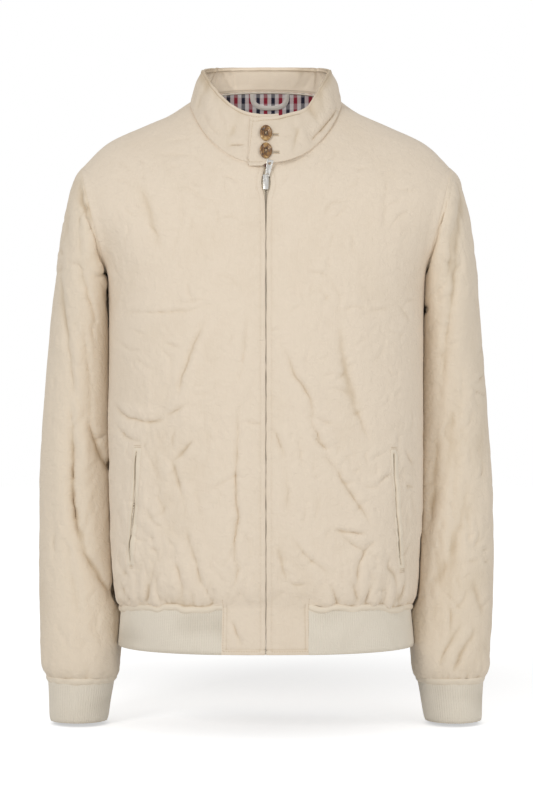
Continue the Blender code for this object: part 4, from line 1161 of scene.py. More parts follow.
# the back: both halves of the torso's wall in one grid, moved along its normals as the fronts are
def makeBack():
    form = backForm
    dense = np.linspace(bodiceRow, neckRow, 4001)
    rows = evenSteps(dense, torsoPoint(0.35, dense, True), form["rows"])
    half = np.linspace(0.0, 1.0, form["columns"] // 2 + 1)
    left = torsoPoint(half[None], rows[:, None], True)
    left = bridged(left, half, rows, gridLengths(left)[1])
    base = np.concatenate([mirrored(left[:, :0:-1], -1.0), left], axis=1)
    normals = outwardNormals(base, bodyMiddle(base))
    u, v = gridLengths(base)
    toSide = np.minimum(u, u[:, -1:] - u)
    toNeck = v[-1:] - v
    lively = 0.6 + 0.55 * ramp(-base[..., 2], 0.26, 0.42)
    height = crumple(base, 83) * lively * paddingShare(toSide, v, toNeck)
    crumpled = height.copy()
    height += strokeHeight(base, form["creases"]) + gathers(base, v, form, 95)
    height += strokeHeight(base, smallCreases(form["wrinkleCount"], form["wrinkled"], 0.0, 97))
    line, puckers = gatherLine(base, v, 99)
    height = height - line + puckers
    height -= groove(toSide, seamForm["sideDip"]) + groove(toNeck, seamForm["neckDip"])
    # the lining and the hanger loop lie close inside the neck, so nothing is pushed in there
    inNeck = ramp(toNeck, 0.10, 0.07) * ramp(np.abs(base[..., 0]), 0.10, 0.07)
    height = height * (1.0 - inNeck) + np.maximum(height, 0.0) * inNeck
    points = base + height[..., None] * normals
    points[..., 2] -= hemDrop(base) * ramp(v, 0.034, 0.0)
    finishPanel("backPanel", "back", base, points, normals, crumpled, line, height)


makeBack()
print("back made")


# sleeves, cuffs and rib hem

sleeveForm = {
    "around": 120,
    "rows": 214,
    "lastRow": 13.0,
    "wrinkleCount": 64,
    "wrinkled": (180, 296, -700, -110, 8),
    "gatherDepth": 0.0032,
    "gatherPitch": 0.013,
    "gatherReach": 0.030,
    "armpitFolds": 0.0030,
    "lean": 0.0019,             # how far the inner side is pushed towards the body
    "tuck": 0.0030,             # the seam allowance at the armhole, and how deep it lies
    "tuckDepth": 0.0010,
    "capDip": (0.0006, 0.0022),
    # creases of the front half: depth and half width in mm, then x and z in mm
    "right": [
        (2.6, 11.0, -252, -392, -249, -464, -242, -524, -233, -577, -214, -612, -197, -640),
        (2.2, 9.0, -230, -372, -222, -432, -204, -478), (1.8, 10.0, -262, -560, -250, -610, -238, -668),
        (2.4, 5.0, -238, -96, -232, -135, -218, -169, -207, -194),
        (1.4, 4.5, -229, -124, -213, -166, -206, -185), (1.8, 7.0, -242, -113, -237, -163, -235, -213),
        (1.0, 7.0, -255, -124, -252, -169, -249, -219), (3.0, 3.8, -220, -227, -210, -222, -202, -220),
        (1.8, 4.5, -238, -213, -232, -230, -224, -264, -216, -295),
        (2.0, 5.0, -214, -227, -209, -253, -211, -283),
        (2.6, 6.0, -266, -225, -260, -267, -253, -314, -250, -350, -246, -381),
        (1.8, 5.0, -235, -295, -230, -336, -225, -381),
        (4.0, 6.5, -252, -384, -249, -438, -251, -492, -247, -536, -239, -574),
        (2.6, 3.6, -251, -495, -248, -527, -242, -557),
        (2.8, 6.5, -242, -571, -226, -595, -210, -622, -195, -648),
        (3.0, 5.5, -236, -400, -226, -427, -211, -462, -201, -485),
        (2.6, 3.8, -224, -435, -213, -430, -203, -422), (1.2, 4.5, -270, -671, -262, -685, -256, -700),
        (1.0, 4.5, -242, -677, -234, -698, -237, -720), (1.0, 5.0, -214, -651, -219, -671, -216, -693),
        (1.0, 6.0, -275, -514, -273, -552, -277, -590), (1.0, 5.0, -211, -536, -208, -568, -210, -595),
    ],
    "left": [
        (1.6, 9.0, 238, -300, 244, -372, 238, -440, 226, -500, 206, -548),
        (1.7, 9.0, 262, -470, 254, -530, 238, -588, 214, -632),
        (1.2, 8.0, 222, -230, 214, -290, 204, -340),
        (3.2, 5.0, 231, -108, 225, -130, 218, -153, 208, -160, 201, -176),
        (1.9, 4.5, 223, -87, 216, -112, 209, -136, 205, -156),
        (2.8, 7.5, 251, -104, 249, -144, 244, -181, 240, -236, 233, -298, 229, -352, 223, -409),
        (3.0, 3.8, 199, -257, 210, -266, 204, -277, 199, -287), (0.9, 3.5, 217, -258, 234, -249),
        (1.0, 3.4, 212, -327, 230, -324), (0.9, 3.4, 211, -359, 219, -365),
        (1.2, 5.5, 250, -326, 253, -373, 249, -409), (1.4, 6.0, 233, -164, 234, -202, 227, -243),
        (2.8, 8.0, 224, -411, 220, -465, 217, -519, 207, -579),
        (1.5, 8.0, 248, -411, 245, -465, 241, -525, 236, -601),
        (1.2, 4.5, 270, -503, 261, -546, 266, -579), (0.9, 3.4, 253, -593, 277, -591),
        (0.8, 3.4, 277, -578, 291, -578), (2.0, 4.5, 252, -671, 236, -696, 225, -717, 219, -738),
        (1.6, 4.5, 270, -677, 248, -716, 239, -738), (1.3, 5.0, 266, -614, 274, -641, 282, -663),
        (1.0, 5.0, 211, -622, 217, -650, 211, -677),
    ],
    "behindRight": [
        (3.6, 8.0, -268, -200, -258, -300, -246, -390, -250, -470),
        (3.0, 6.0, -236, -330, -246, -388, -268, -420), (3.0, 6.0, -214, -400, -236, -446, -262, -462),
        (2.6, 6.0, -230, -520, -240, -590, -228, -660), (2.2, 5.0, -262, -560, -254, -640, -262, -700),
    ],
    "behindLeft": [
        (3.4, 8.0, 266, -190, 254, -290, 250, -380, 240, -460),
        (3.0, 6.0, 228, -350, 246, -404, 272, -436), (2.8, 6.0, 216, -420, 240, -462, 270, -478),
        (2.6, 6.0, 226, -540, 238, -600, 232, -676), (2.2, 5.0, 264, -540, 256, -620, 268, -690),
    ],
}


# normals of rings, whose first and last point are neighbours
def closedNormals(points):
    rings = np.concatenate([points[:, -1:], points, points[:, :1]], axis=1)
    return outwardNormals(rings, points.mean(axis=1, keepdims=True))[:, 1:-1]


# even turns of a whole circle
def roundTurns(steps):
    return np.arange(steps) * 2.0 * math.pi / steps


# a sleeve: rings moved along their normals by padding, creases and gathers, the front half's and the back
# half's creases fading into each other at the sides
def makeSleeve(name, node, word, side, seed):
    form = sleeveForm
    dense = np.linspace(0.0, form["lastRow"], 4001)
    rows = evenSteps(dense, sleevePoint(1.8, dense), form["rows"])
    turn = roundTurns(form["around"])
    base = mirrored(sleevePoint(turn[None], rows[:, None]), side)
    normals = closedNormals(base)
    v = gridLengths(base)[1]
    toWelt = v[-1:] - v
    height = crumple(base, seed, 3.2) * paddingShare(v, toWelt) * 1.15
    near, far, low, high, lean = form["wrinkled"]
    near, far = sorted((near * side, far * side))
    for key, facing, draw in ((word, np.sin(turn), 20), ("behind" + word.capitalize(), -np.sin(turn), 21)):
        strewn = smallCreases(form["wrinkleCount"], (near, low, far, high), lean * side, seed + draw)
        strokes = strokeHeight(base, form[key]) + strokeHeight(base, strewn)
        height += strokes * ramp(facing[None], 0.0, 0.35)
    height += gathers(base, toWelt, form, seed + 9)
    # folds that fan out under the arm, where the sleeve meets the body
    armpit = np.exp(-v / 0.07) * ramp(-np.cos(turn)[None], -0.2, 0.9) * ramp(v, 0.0, 0.02)
    folds = np.abs(clothNoise(base, (0.018, 0.018, 0.05), seed + 14)) - 0.3
    height += form["armpitFolds"] * armpit * folds - groove(v, form["capDip"])
    line, puckers = gatherLine(base, toWelt, seed + 40)
    height = height - line + puckers
    # the inner side leans on the body, so it is pushed near it and no fold goes further
    inner = ramp(-np.cos(turn)[None], 0.30, 0.75) * ramp(v, 0.0, 0.03)
    height = np.where(height > 0.0, height * (1.0 - 0.85 * inner), height) + form["lean"] * inner
    points = base + height[..., None] * normals
    # the seam allowance: a row along the edge of the armhole, and one turned in under it
    outerX, outerZ, innerX, innerZ, centreY, halfDepth = sleeveTable[0]
    outside = 0.5 * (1.0 + np.cos(turn))
    x = innerX + (outerX - innerX) * outside
    z = innerZ + (outerZ - innerZ) * outside
    seam = np.stack([x, centreY - halfDepth * np.sin(turn), z], axis=-1)
    seam = mirrored(seam, side) - 0.4 * form["tuckDepth"] * normals[0]
    tucked = seam - form["tuckDepth"] * normals[0] - np.array([side * form["tuck"], 0.0, 0.0])
    points = np.concatenate([tucked[None], seam[None], points])
    normals = np.concatenate([normals[:1], normals[:1], normals])
    height = np.concatenate([height[:1], height[:1], height])
    line = np.concatenate([0.0 * line[:2], line])
    # painted shade in the hollows and the sewn line, a little painted light on the folds
    paintedShade = np.clip((1.2 * line - height) / shadeDepth["sleeve"], -0.5, 1.0)
    made = addSheet(name, points, normals, sleeveCotton, bodyForm["shellWall"], closed=True, paintedShade=paintedShade)
    declareSheet(made, node, wrapped(base))


ribForm = {
    "pitch": 0.0030,
    "height": 0.00034,
    "stepsPerRib": 4,
    "seamDip": (0.0012, 0.0015),
    "cuffDip": (0.0007, 0.0022),
    "hemDip": (0.0008, 0.0022),
    "cuffRows": [13.75, 13.95, 14.1, 14.25, 14.4, 14.55, 14.7, 14.82, 14.91, 14.97, 15.0],
    "cuffWave": 0.0008,
    "weltWall": 0.0022,
    "weltCrown": 0.0010,
    "weltPinch": 0.0010,
    "weltRows": (13.06, 13.94, 9),
}


# ribs that fit into a length
def ribCount(length):
    return round(length / ribForm["pitch"])


# furrows between round ribs: the absolute sine, to a power below one, with pi to a rib
def ribHeight(phase):
    return ribForm["height"] * (np.abs(np.sin(phase)) ** 0.7 - 1.0)


# a ribbed band's sheet, with painted shade in its furrows
def finishRib(name, node, points, normals, height, base, closed=False):
    paintedShade = np.clip((height + 0.00015) / -shadeDepth["rib"], 0.0, 0.9)
    made = addSheet(name, points, normals, ribCotton, bodyForm["ribWall"], closed, paintedShade=paintedShade, rim=0.0008)
    declareSheet(made, node, base)


# the folded strip over a rib: half a round across it, pinched by the gathers that it holds
def weltHeight(share, base, cell, seed):
    crown = np.sin(math.pi * share) ** 0.6
    pinch = ribForm["weltPinch"] * (0.4 + crown) * clothNoise(base, cell, seed)
    return ribForm["weltCrown"] * crown + pinch


def finishWelt(name, node, points, normals, height, base, closed=False):
    # painted shade in the strip's hollows, a little painted light on its crown
    paintedShade = np.clip(-height / shadeDepth["welt"], -0.3, 0.7)
    made = addSheet(name, points, normals, trimCotton, ribForm["weltWall"], closed, paintedShade=paintedShade)
    declareSheet(made, node, base)


# a cuff: rings of the sleeve with ribs round them, drawn in at both edges
def makeCuff(word, side, seed):
    ring = sleevePoint(roundTurns(400)[None], np.array([[14.5]]))
    count = ribCount(gridLengths(wrapped(ring))[0][0, -1])
    turn = roundTurns(count * ribForm["stepsPerRib"])
    rows = np.array(ribForm["cuffRows"])
    base = mirrored(sleevePoint(turn[None], rows[:, None]), side)
    normals = closedNormals(base)
    v = gridLengths(base)[1]
    wave = ribForm["cuffWave"] * clothNoise(base, (0.05, 0.05, 0.03), seed)
    height = ribHeight(0.5 * turn[None] * count) + wave
    height = height - groove(v[-1:] - v, ribForm["cuffDip"]) - groove(v, ribForm["seamDip"])
    points = base + height[..., None] * normals
    finishRib("cuff" + word.capitalize(), "cuff_" + word, points, normals, height, wrapped(base), True)


# a cuff's folded strip, on rings of the sleeve
def makeCuffWelt(word, side, seed):
    rows = np.linspace(*ribForm["weltRows"])
    base = mirrored(sleevePoint(roundTurns(210)[None], rows[:, None]), side)
    normals = closedNormals(base)
    share = ((rows - rows[0]) / (rows[-1] - rows[0]))[:, None]
    height = weltHeight(share, base, (0.011, 0.011, 0.03), seed)
    points = base + height[..., None] * normals
    name = "cuffWelt" + word.capitalize()
    finishWelt(name, "cuff_welt_" + word, points, normals, height, wrapped(base), True)


for word, side, seed in (("right", -1.0, 131), ("left", 1.0, 167)):
    makeSleeve("sleeve" + word.capitalize(), "sleeve_" + word, word, side, seed)
    makeCuff(word, side, seed + 3)
    makeCuffWelt(word, side, seed + 5)
print("sleeves and cuffs made")


hemForm = {
    "tuckShare": 0.030,         # the bands' ends reach in behind the blocks and are sunk there
    "tuckBegins": 0.0070,
    "tuckEnds": 0.0105,
    "ribRows": [0.0, 0.03, 0.09, 0.27, 0.5, 0.73, 0.92, 1.05, 1.25],
    "ribWave": 0.0012,
    "ribTuck": 0.0031,
    "weltTuck": 0.0040,
    "weltSteps": 400,
    "weltRows": (1.18, 1.955, 9),
    "weltEdge": [2.03, 2.12],   # two more rows, under the cloth
    "weltUnder": 0.0030,        # how deep the strip's upper edge goes in under the cloth
}


# a band from one front block round the back to the other, with evenly long steps: its points, their normals
# and the lengths along and up it
def hemBand(rows, steps):
    first = bodyForm["blockShare"] - hemForm["tuckShare"]
    denseFront = np.linspace(first, 1.0, 801)
    denseBack = np.linspace(1.0, 0.0, 801)[1:]
    middle = np.full(1, 0.5 * (rows[0] + rows[-1]))
    line = np.concatenate([torsoPoint(denseFront, middle, False), torsoPoint(denseBack, middle, True)])
    places = evenSteps(np.arange(len(line)), line, steps // 2)
    share = np.interp(places, np.arange(len(line)), np.concatenate([denseFront, denseBack]))
    front, back = (torsoPoint(share[None], rows[:, None], onBack) for onBack in (False, True))
    left = np.where((places > 800.0)[None, :, None], back, front)
    base = np.concatenate([left, mirrored(left[:, :-1][:, ::-1], -1.0)], axis=1)
    u, v = gridLengths(base)
    return base, outwardNormals(base, bodyMiddle(base)), u, v


# the rib of the hem, and the folded strip over it, whose upper edge goes in under the cloth
def makeHem():
    form = hemForm
    count = ribCount(hemBand(np.array([0.0, 1.0]), 400)[2][0, -1])
    base, normals, u, v = hemBand(np.array(form["ribRows"]), count * ribForm["stepsPerRib"])
    wave = form["ribWave"] * clothNoise(base, (0.09, 0.09, 0.05), 205)
    height = ribHeight(math.pi * u / u[:, -1:] * count) + wave
    height = height - groove(v, ribForm["hemDip"]) - groove(v[-1:] - v, ribForm["seamDip"])
    toEnd = np.minimum(u, u[:, -1:] - u)
    height = height - form["ribTuck"] * ramp(toEnd, form["tuckEnds"], form["tuckBegins"])
    finishRib("hemRib", "hem_rib", base + height[..., None] * normals, normals, height, base)

    rows = np.concatenate([np.linspace(*form["weltRows"]), form["weltEdge"]])
    base, normals, u, v = hemBand(rows, form["weltSteps"])
    share = np.minimum((rows - rows[0]) / (rows[8] - rows[0]), 1.0)[:, None]
    height = 0.0004 + weltHeight(share, base, (0.013, 0.013, 0.03), 211)
    toEnd = np.minimum(u, u[:, -1:] - u)
    height = height - form["weltUnder"] * ramp(rows[:, None], rows[8], rows[9])
    height = height - form["weltTuck"] * ramp(toEnd, form["tuckEnds"], form["tuckBegins"])
    points = base + height[..., None] * normals
    points[..., 2] -= hemDrop(base) * ramp(toEnd, 0.006, 0.026)
    finishWelt("hemWelt", "hem_welt", points, normals, height, points)


makeHem()
print("rib hem made")


# collar

collarLook = {
    "height": 40,               # steps up the band
    "stitchFromTop": 0.0040,
    "stitchFromEnd": 0.0048,
    "stitchDip": (0.0013, 0.0011),
    "endDip": (0.0006, 0.0010),
    "ridge": (0.0003, 0.0013),  # the cloth swells over the stitching
    "ridgeFromTop": 0.0018,
    "noises": [(0.0014, (0.030, 0.030, 0.050), 301), (0.0006, (0.010, 0.010, 0.02), 303)],
    "cornerSteps": [8, 18, 29, 40, 51, 61, 70, 78, 84, 88],     # degrees round the lapped end's corner
    # where the top edge sags: degrees of turn, depth in mm, width in degrees
    "sags": [(325, 9.0, 15.0), (357, 4.0, 20.0), (368, 4.0, 5.0), (90, 2.6, 13.0), (270, 2.6, 13.0)],
    "curl": 0.0034,             # how far the top edge bends in at the sides
    # soft folds: degrees of turn, their lean in degrees over the height, height in mm and half width in mm
    "folds": [
        (128.0, 6.0, -2.2, 2.4), (136.0, -5.0, 1.9, 2.6), (146.0, -20.0, -1.7, 4.2), (155.0, -8.0, 1.5, 3.0),
        (206.0, 15.0, -1.2, 4.6), (216.0, 18.0, 1.6, 4.0), (224.0, 12.0, -2.3, 2.8), (233.0, -4.0, 1.9, 2.8),
        (24.0, -9.0, -1.0, 5.0), (44.0, -12.0, 0.9, 5.0), (62.0, -14.0, -1.1, 6.0),
        (318.0, 14.0, -1.1, 5.0), (334.0, 10.0, 0.9, 4.0), (300.0, 12.0, 1.0, 6.0),
    ],
    # creases of the front half: depth and half width in mm, then x and z in mm
    "creases": [
        (2.0, 3.4, -46, -65, -36, -63, -25, -64), (1.0, 3.0, -22, -42, -17, -38, -8, -36),
        (0.9, 3.0, 14, -56, 24, -52, 34, -53), (1.3, 4.0, 46, -33, 38, -52, 34, -76),
        (4.0, 3.2, 90, -10, 82, -26, 71, -41, 55, -58), (1.2, 5.0, -78, -20, -70, -38, -56, -52),
        (1.0, 6.0, -64, -8, -56, -28, -50, -44),
    ],
}


# the collar: a band with folds, which are bells across leaning lines, creases, noise and a curled top
def makeCollar():
    look = collarLook
    form = collarForm
    wall = bodyForm["collarWall"]
    dense = np.linspace(collarStart, collarEnd - cornerTurn, 6001)
    line = collarPoint(dense, 0.5, 0.0)
    turns = evenSteps(dense, line, 300)
    last = 1.0 - np.sin(np.radians(look["cornerSteps"]))
    turns = np.concatenate([turns, collarEnd - cornerTurn * last])[None]
    degrees = np.degrees(turns)
    shares = np.linspace(0.0, 1.0, look["height"] + 1)[:, None]
    square = collarPoint(turns, shares, 0.0)
    normals = outwardNormals(square, bodyMiddle(square))
    lift = form["lapLift"] * ramp(turns, form["lapBegins"], form["lapEnds"])
    base = collarPoint(turns, shares, form["tabCorner"]) + lift[..., None] * normals
    drop = 0.0
    for centre, depth, width in look["sags"]:
        drop = drop + 0.001 * depth * bell(degrees - centre, width)
    base[..., 2] -= drop * shares ** 1.4
    u, v = gridLengths(base)
    toTop = v[-1:] - v
    toEnd = u[:, -1:] - u
    height = 0.0 * v
    for centre, lean, depth, width in look["folds"]:
        middle = centre + lean * (shares - 0.5)
        away = (degrees - middle) * math.radians(1.0) * neckHalfWidth * 1000.0
        height = height + 0.001 * depth * bell(away, width) * (0.45 + 0.55 * np.sin(math.pi * shares))
    front = ramp(np.cos(turns), -0.05, 0.12)
    crease = front * strokeHeight(base, look["creases"])
    noise = sum(size * clothNoise(base, cell, seed) for size, cell, seed in look["noises"])
    height = height + crease + noise
    ends = ramp(toEnd, -0.004, 0.010) * ramp(u, -0.004, 0.008)
    height = height * ends * (0.25 + 0.75 * ramp(v, 0.0, 0.008))
    height = height - look["curl"] * ramp(shares, 0.45, 1.0) ** 1.5 * np.sin(turns) ** 2
    seam = groove(toTop - look["stitchFromTop"], look["stitchDip"])
    height = height - seam + groove(toTop - look["ridgeFromTop"], look["ridge"])
    # the lapped end has the same stitching along its end and its foot
    onTab = ramp(turns, math.radians(361.5), math.radians(363.0))
    height = height - groove(toEnd - look["stitchFromEnd"], look["endDip"])
    height = height - onTab * groove(v - look["stitchFromEnd"], look["endDip"])
    lapped = ramp(degrees, 352.0, 358.0)
    height = np.where(height < 0.0, height * (1.0 - 0.3 * lapped), height)
    points = base + height[..., None] * normals
    # painted shade in the hollows and the stitching's groove, a little painted light on the folds
    paintedShade = np.clip(-height / shadeDepth["collar"] + 0.4 * seam / look["stitchDip"][0], -0.5, 1.0)
    paintedShade = paintedShade + 0.9 * ramp(-crease, 0.0013, 0.0028)       # painted shadow in the deepest crease
    made = addSheet("collarBand", points, normals, collarCotton, wall, paintedShade=paintedShade, rim=0.0009)
    # the inner side takes the facing's lighter colours: painted light
    made.data.materials.append(facingCotton)
    made.modifiers["wall"].material_offset = 1
    declareSheet(made, "collar", base)
    outerSide["collarBand"] = (points + wall * normals, normals, turns[0])


makeCollar()
print("collar made")


# neck lining, piping and hanger loop

loopForm = {
    "centreX": 0.0050,
    "halfWidth": 0.0262,
    "topZ": 0.0262,
    "drop": 0.0215,
    "band": 0.0056,
    "offBack": 0.0022,
    "flatness": 0.58,
    "edge": 0.0005,             # how much thinner it is at its edges
    "stitchAt": 0.0016,
    "stitchDip": (0.0003, 0.0004),
}

liningForm = {
    "rows": 36,
    "seamShare": 0.985,         # how near the lining's edge comes to the side line
    "freeColumns": 12.0,        # columns beside the edge over which its waves grow
    "wave": 0.0010,
}


# the lining inside the back: the back's own surface, with waves towards the inside only
def makeLining():
    form = liningForm
    dense = np.linspace(tipRow, neckRow, 1201)
    curve = torsoPoint(0.5, dense, True)
    top = neckRow - 0.03
    rows = evenSteps(dense[dense <= top], curve[dense <= top], form["rows"])
    half = np.linspace(0.0, form["seamShare"], 47)
    left = torsoPoint(half[None], rows[:, None], True)
    base = np.concatenate([mirrored(left[:, :0:-1], -1.0), left], axis=1)
    normals = outwardNormals(base, bodyMiddle(base))
    columns = np.arange(base.shape[1])
    edge = np.minimum(np.minimum(columns, columns[::-1]) / form["freeColumns"], 1.0)
    wave = form["wave"] * (clothNoise(base, (0.05, 0.05, 0.06), 401) - 0.6) * edge
    points = base + (-bodyForm["seamGap"] + np.minimum(wave, 0.0))[..., None] * normals
    made = addSheet("neckLining", points, normals, liningCotton, bodyForm["thinWall"], inward=True,
                    uv=base[..., [0, 2]], rim=0.0)
    declareSheet(made, "neck_lining", base)


# a round tube along a path: circles square to its direction, closed by a flat face at both ends
def addTube(name, path, radius, material, sides=10):
    ahead = np.gradient(path, axis=0)
    ahead /= np.linalg.norm(ahead, axis=1, keepdims=True)
    beside = np.cross(ahead, np.array([0.0, 0.0, 1.0]))
    beside /= np.linalg.norm(beside, axis=1, keepdims=True)
    above = np.cross(beside, ahead)
    turn = roundTurns(sides)[:, None]
    ring = beside[:, None] * np.cos(turn) + above[:, None] * np.sin(turn)
    points = path[:, None] + ring * radius[:, None, None]
    flat = np.stack(gridLengths(wrapped(points))[::-1], axis=-1)
    quads = gridFaces(len(path), sides, True).reshape(-1, 4)
    made = addMesh(name, points.reshape(-1, 3), quads, material, gridCorners(flat))
    cleanMesh(made.data, fill=True)
    made.data.shade_smooth()
    return made


pipingForm = {
    "radius": 0.0011,
    "ends": (103.5, 256.5),     # degrees of turn
    "steps": 110,
    "swell": 0.06,
    "rows": [[neckRow - 0.15], [neckRow - 0.07]],       # the second one is the piping's
}


# the piping: a tube along the lining's top edge, swelling a little by a sine along it
def makePiping():
    form = pipingForm
    radius = form["radius"]
    turns = np.radians(np.linspace(*form["ends"], form["steps"]))
    share = np.abs(turns - math.pi) / (0.5 * math.pi)
    strip = torsoPoint(share[None], form["rows"], True)
    strip[..., 0] *= np.sign(turns - math.pi)
    normals = outwardNormals(strip, bodyMiddle(strip))
    path = strip[1] - (radius + bodyForm["thinWall"] + bodyForm["seamGap"]) * normals[1]
    swell = radius * (1.0 + form["swell"] * np.sin(np.arange(len(path)) * 2.1))
    standFor(addTube("neckPiping", path, swell, pipingCotton), "neck_piping")


# the seam allowance of the neck: a strip inside the walls, from the panels' top rows into the collar's foot
def makeNeckSeam():
    wall = 0.0008
    first = neckTurn(0.0035)
    turns = np.linspace(first, 2.0 * math.pi - first, 420)[None]
    quarter = 0.5 * math.pi
    behind = np.cos(turns) < 0.0
    share = np.abs(np.mod(turns + quarter, math.pi) - quarter) / quarter
    rows = np.linspace(neckRow - 0.2, neckRow, 3)[:, None]
    onBack, onFront = (torsoPoint(share, rows, back) for back in (True, False))
    below = np.where(behind[..., None], onBack, onFront)
    below[..., 0] *= np.where(np.sin(turns) >= 0.0, -1.0, 1.0)
    above = collarPoint(turns, np.array([[0.02], [0.05], [0.08]]), 0.0)
    base = np.concatenate([below, above])
    normals = outwardNormals(base, bodyMiddle(base))
    points = base + 0.0006 * normals
    made = addSheet("neckSeam", points, normals, shellCotton, wall, rim=0.0)
    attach(made, "jacket")


# a folded band in a U: a half circle flattened by a power, lying against the back
def makeLoop():
    form = loopForm
    turn = np.linspace(0.0, math.pi, 61)
    across = np.linspace(-0.5, 0.5, 9)[:, None] * form["band"]
    sweep = np.sign(np.cos(turn)) * np.abs(np.cos(turn)) ** 0.8
    x = form["centreX"] - (form["halfWidth"] - 0.5 * form["band"] + across) * sweep[None]
    z = form["topZ"] - (form["drop"] - 0.5 * form["band"] + across) * np.sin(turn)[None] ** form["flatness"]
    share, row = findRow(np.abs(x), z, True)
    y = torsoPoint(share, row, True)[..., 1] - form["offBack"]
    base = np.stack([x, y, z], axis=-1)
    normals = outwardNormals(base, bodyMiddle(base))
    edge = 1.0 - (np.abs(across) / (0.5 * form["band"])) ** 2
    stitch = groove(np.abs(across) - form["stitchAt"], form["stitchDip"])
    height = -form["edge"] * edge + stitch + 0.0003 * clothNoise(base, (0.01, 0.01, 0.01), 407)
    points = base + height[..., None] * normals
    # the loop takes near white colours: painted light in the shade inside the neck
    made = addSheet("hangerLoop", points, normals, loopCotton, bodyForm["thinWall"], inward=True, rim=0.0004)
    declareSheet(made, "hanger_loop", base)


makeLining()
makePiping()
makeLoop()
makeNeckSeam()
print("lining, piping and loop made")


# pockets

pocketForm = {
    "width": 0.0085,
    "sink": 0.0001,             # the strip's foot lies this deep in the cloth
    "slit": 0.16,               # from the middle towards the side, as a share of the width
    "length": 0.15,
    "crown": 0.0011,
    "uneven": 0.0004,
    "gape": 0.0009,             # how deep its opening shows
    "right": (-1.0, (0.1600, -0.4430), (0.1690, -0.5920)),
    "left": (1.0, (0.1590, -0.4450), (0.1710, -0.5970)),
}


# what lies on a front at places x and z: the point of its creased outer side and the normal there
def onFront(name, x, z):
    points, normals, shares, rows = outerSide[name]
    share, row = findRow(np.abs(x), z, False)
    across = np.interp(share, shares, np.arange(len(shares)))
    up = np.interp(row, rows, np.arange(len(rows)))
    return onGrid(points, up, across), onGrid(normals, up, across)


# a narrow strip with a rounded back, a half circle across it, sunk towards its opening edge
def makePocket(word, front):
    form = pocketForm
    side, top, low = form[word]
    wall = bodyForm["thinWall"]
    along = np.linspace(0.0, 1.0, 101)[:, None]
    across = np.linspace(-0.5, 0.5, 21)[None]
    x = top[0] + (low[0] - top[0]) * along + across * form["width"]
    z = top[1] + (low[1] - top[1]) * along + 0.0 * across
    base, normals = onFront(front, x, z)
    slit = -form["slit"] * side
    ends = np.minimum(along, 1.0 - along) * form["length"]
    wander = 0.035 * clothNoise(base, (0.02, 0.02, 0.03), 503)
    gape = bell(across - slit - wander, 0.13 + 0.05 * clothNoise(base, (0.02, 0.02, 0.05), 504))
    gape = gape * ramp(ends, 0.002, 0.008)
    crown = np.sqrt(np.clip(1.0 - (2.0 * across) ** 2, 0.0, 1.0)) * ramp(ends, -0.001, 0.003)
    uneven = form["uneven"] * clothNoise(base, (0.012, 0.012, 0.02), 501)
    rise = form["crown"] * crown + crown * uneven - form["gape"] * gape
    points = base + (rise - wall - form["sink"])[..., None] * normals
    name = "pocketWelt" + word.capitalize()
    # painted shadow inside the opening: its painted shade goes up to 2
    made = addSheet(name, points, normals, trimCotton, wall, paintedShade=2.0 * gape, rim=0.0004)
    declareSheet(made, "pocket_welt_" + word, base)
    return x, z


# zip: tapes, teeth, slider and pull tab

zipForm = {
    "tapeWidth": 0.0130,
    "tapeWall": 0.0008,
    "tapeTop": -0.0912,
    "chainTop": -0.1150,
    "teethTop": -0.0980,
    "toothPitch": 0.0027,
    "toothHeight": 0.0015,
    "toothLength": 0.0016,
    "toothDepth": 0.0012,
    "toothTurns": [20, 70, 110, 160, 200, 250, 290, 340],       # degrees of its eight corners
    "toothLevels": [-0.5, -0.28, 0.5],
    "toothSizes": [0.72, 1.0, 1.0],
}


# depth of the fronts' inner side at the centre, straight between the model's own rows
def frontLine(z):
    low = [0, 1, 2, 3, 4, 5, 6, 6.5, 7, 8, 8.5]
    line = torsoPoint(0.0, np.concatenate([low, 9.0 + np.arange(10) / 10.0, np.arange(10, 15)]), False)
    return np.interp(z, line[:, 2], line[:, 1])


# a tape: a plain strip behind a front's edge
def makeTape(word, side):
    z = np.linspace(torsoTable[0, 3] + 0.0005, zipForm["tapeTop"], 220)[:, None]
    x, z = np.broadcast_arrays(np.linspace(0.0001, zipForm["tapeWidth"], 9)[None], z)
    share, row = findRow(x, z, False)
    y = torsoPoint(share, row, False)[..., 1] + 0.0004
    base = mirrored(np.stack([x, y, z], axis=-1), side)
    normals = outwardNormals(base, bodyMiddle(base))
    wall = zipForm["tapeWall"]
    made = addSheet("zipTape" + word.capitalize(), base, normals, tapeCotton, wall, inward=True, rim=0.0)
    declareSheet(made, "zip_tape_" + word, base)


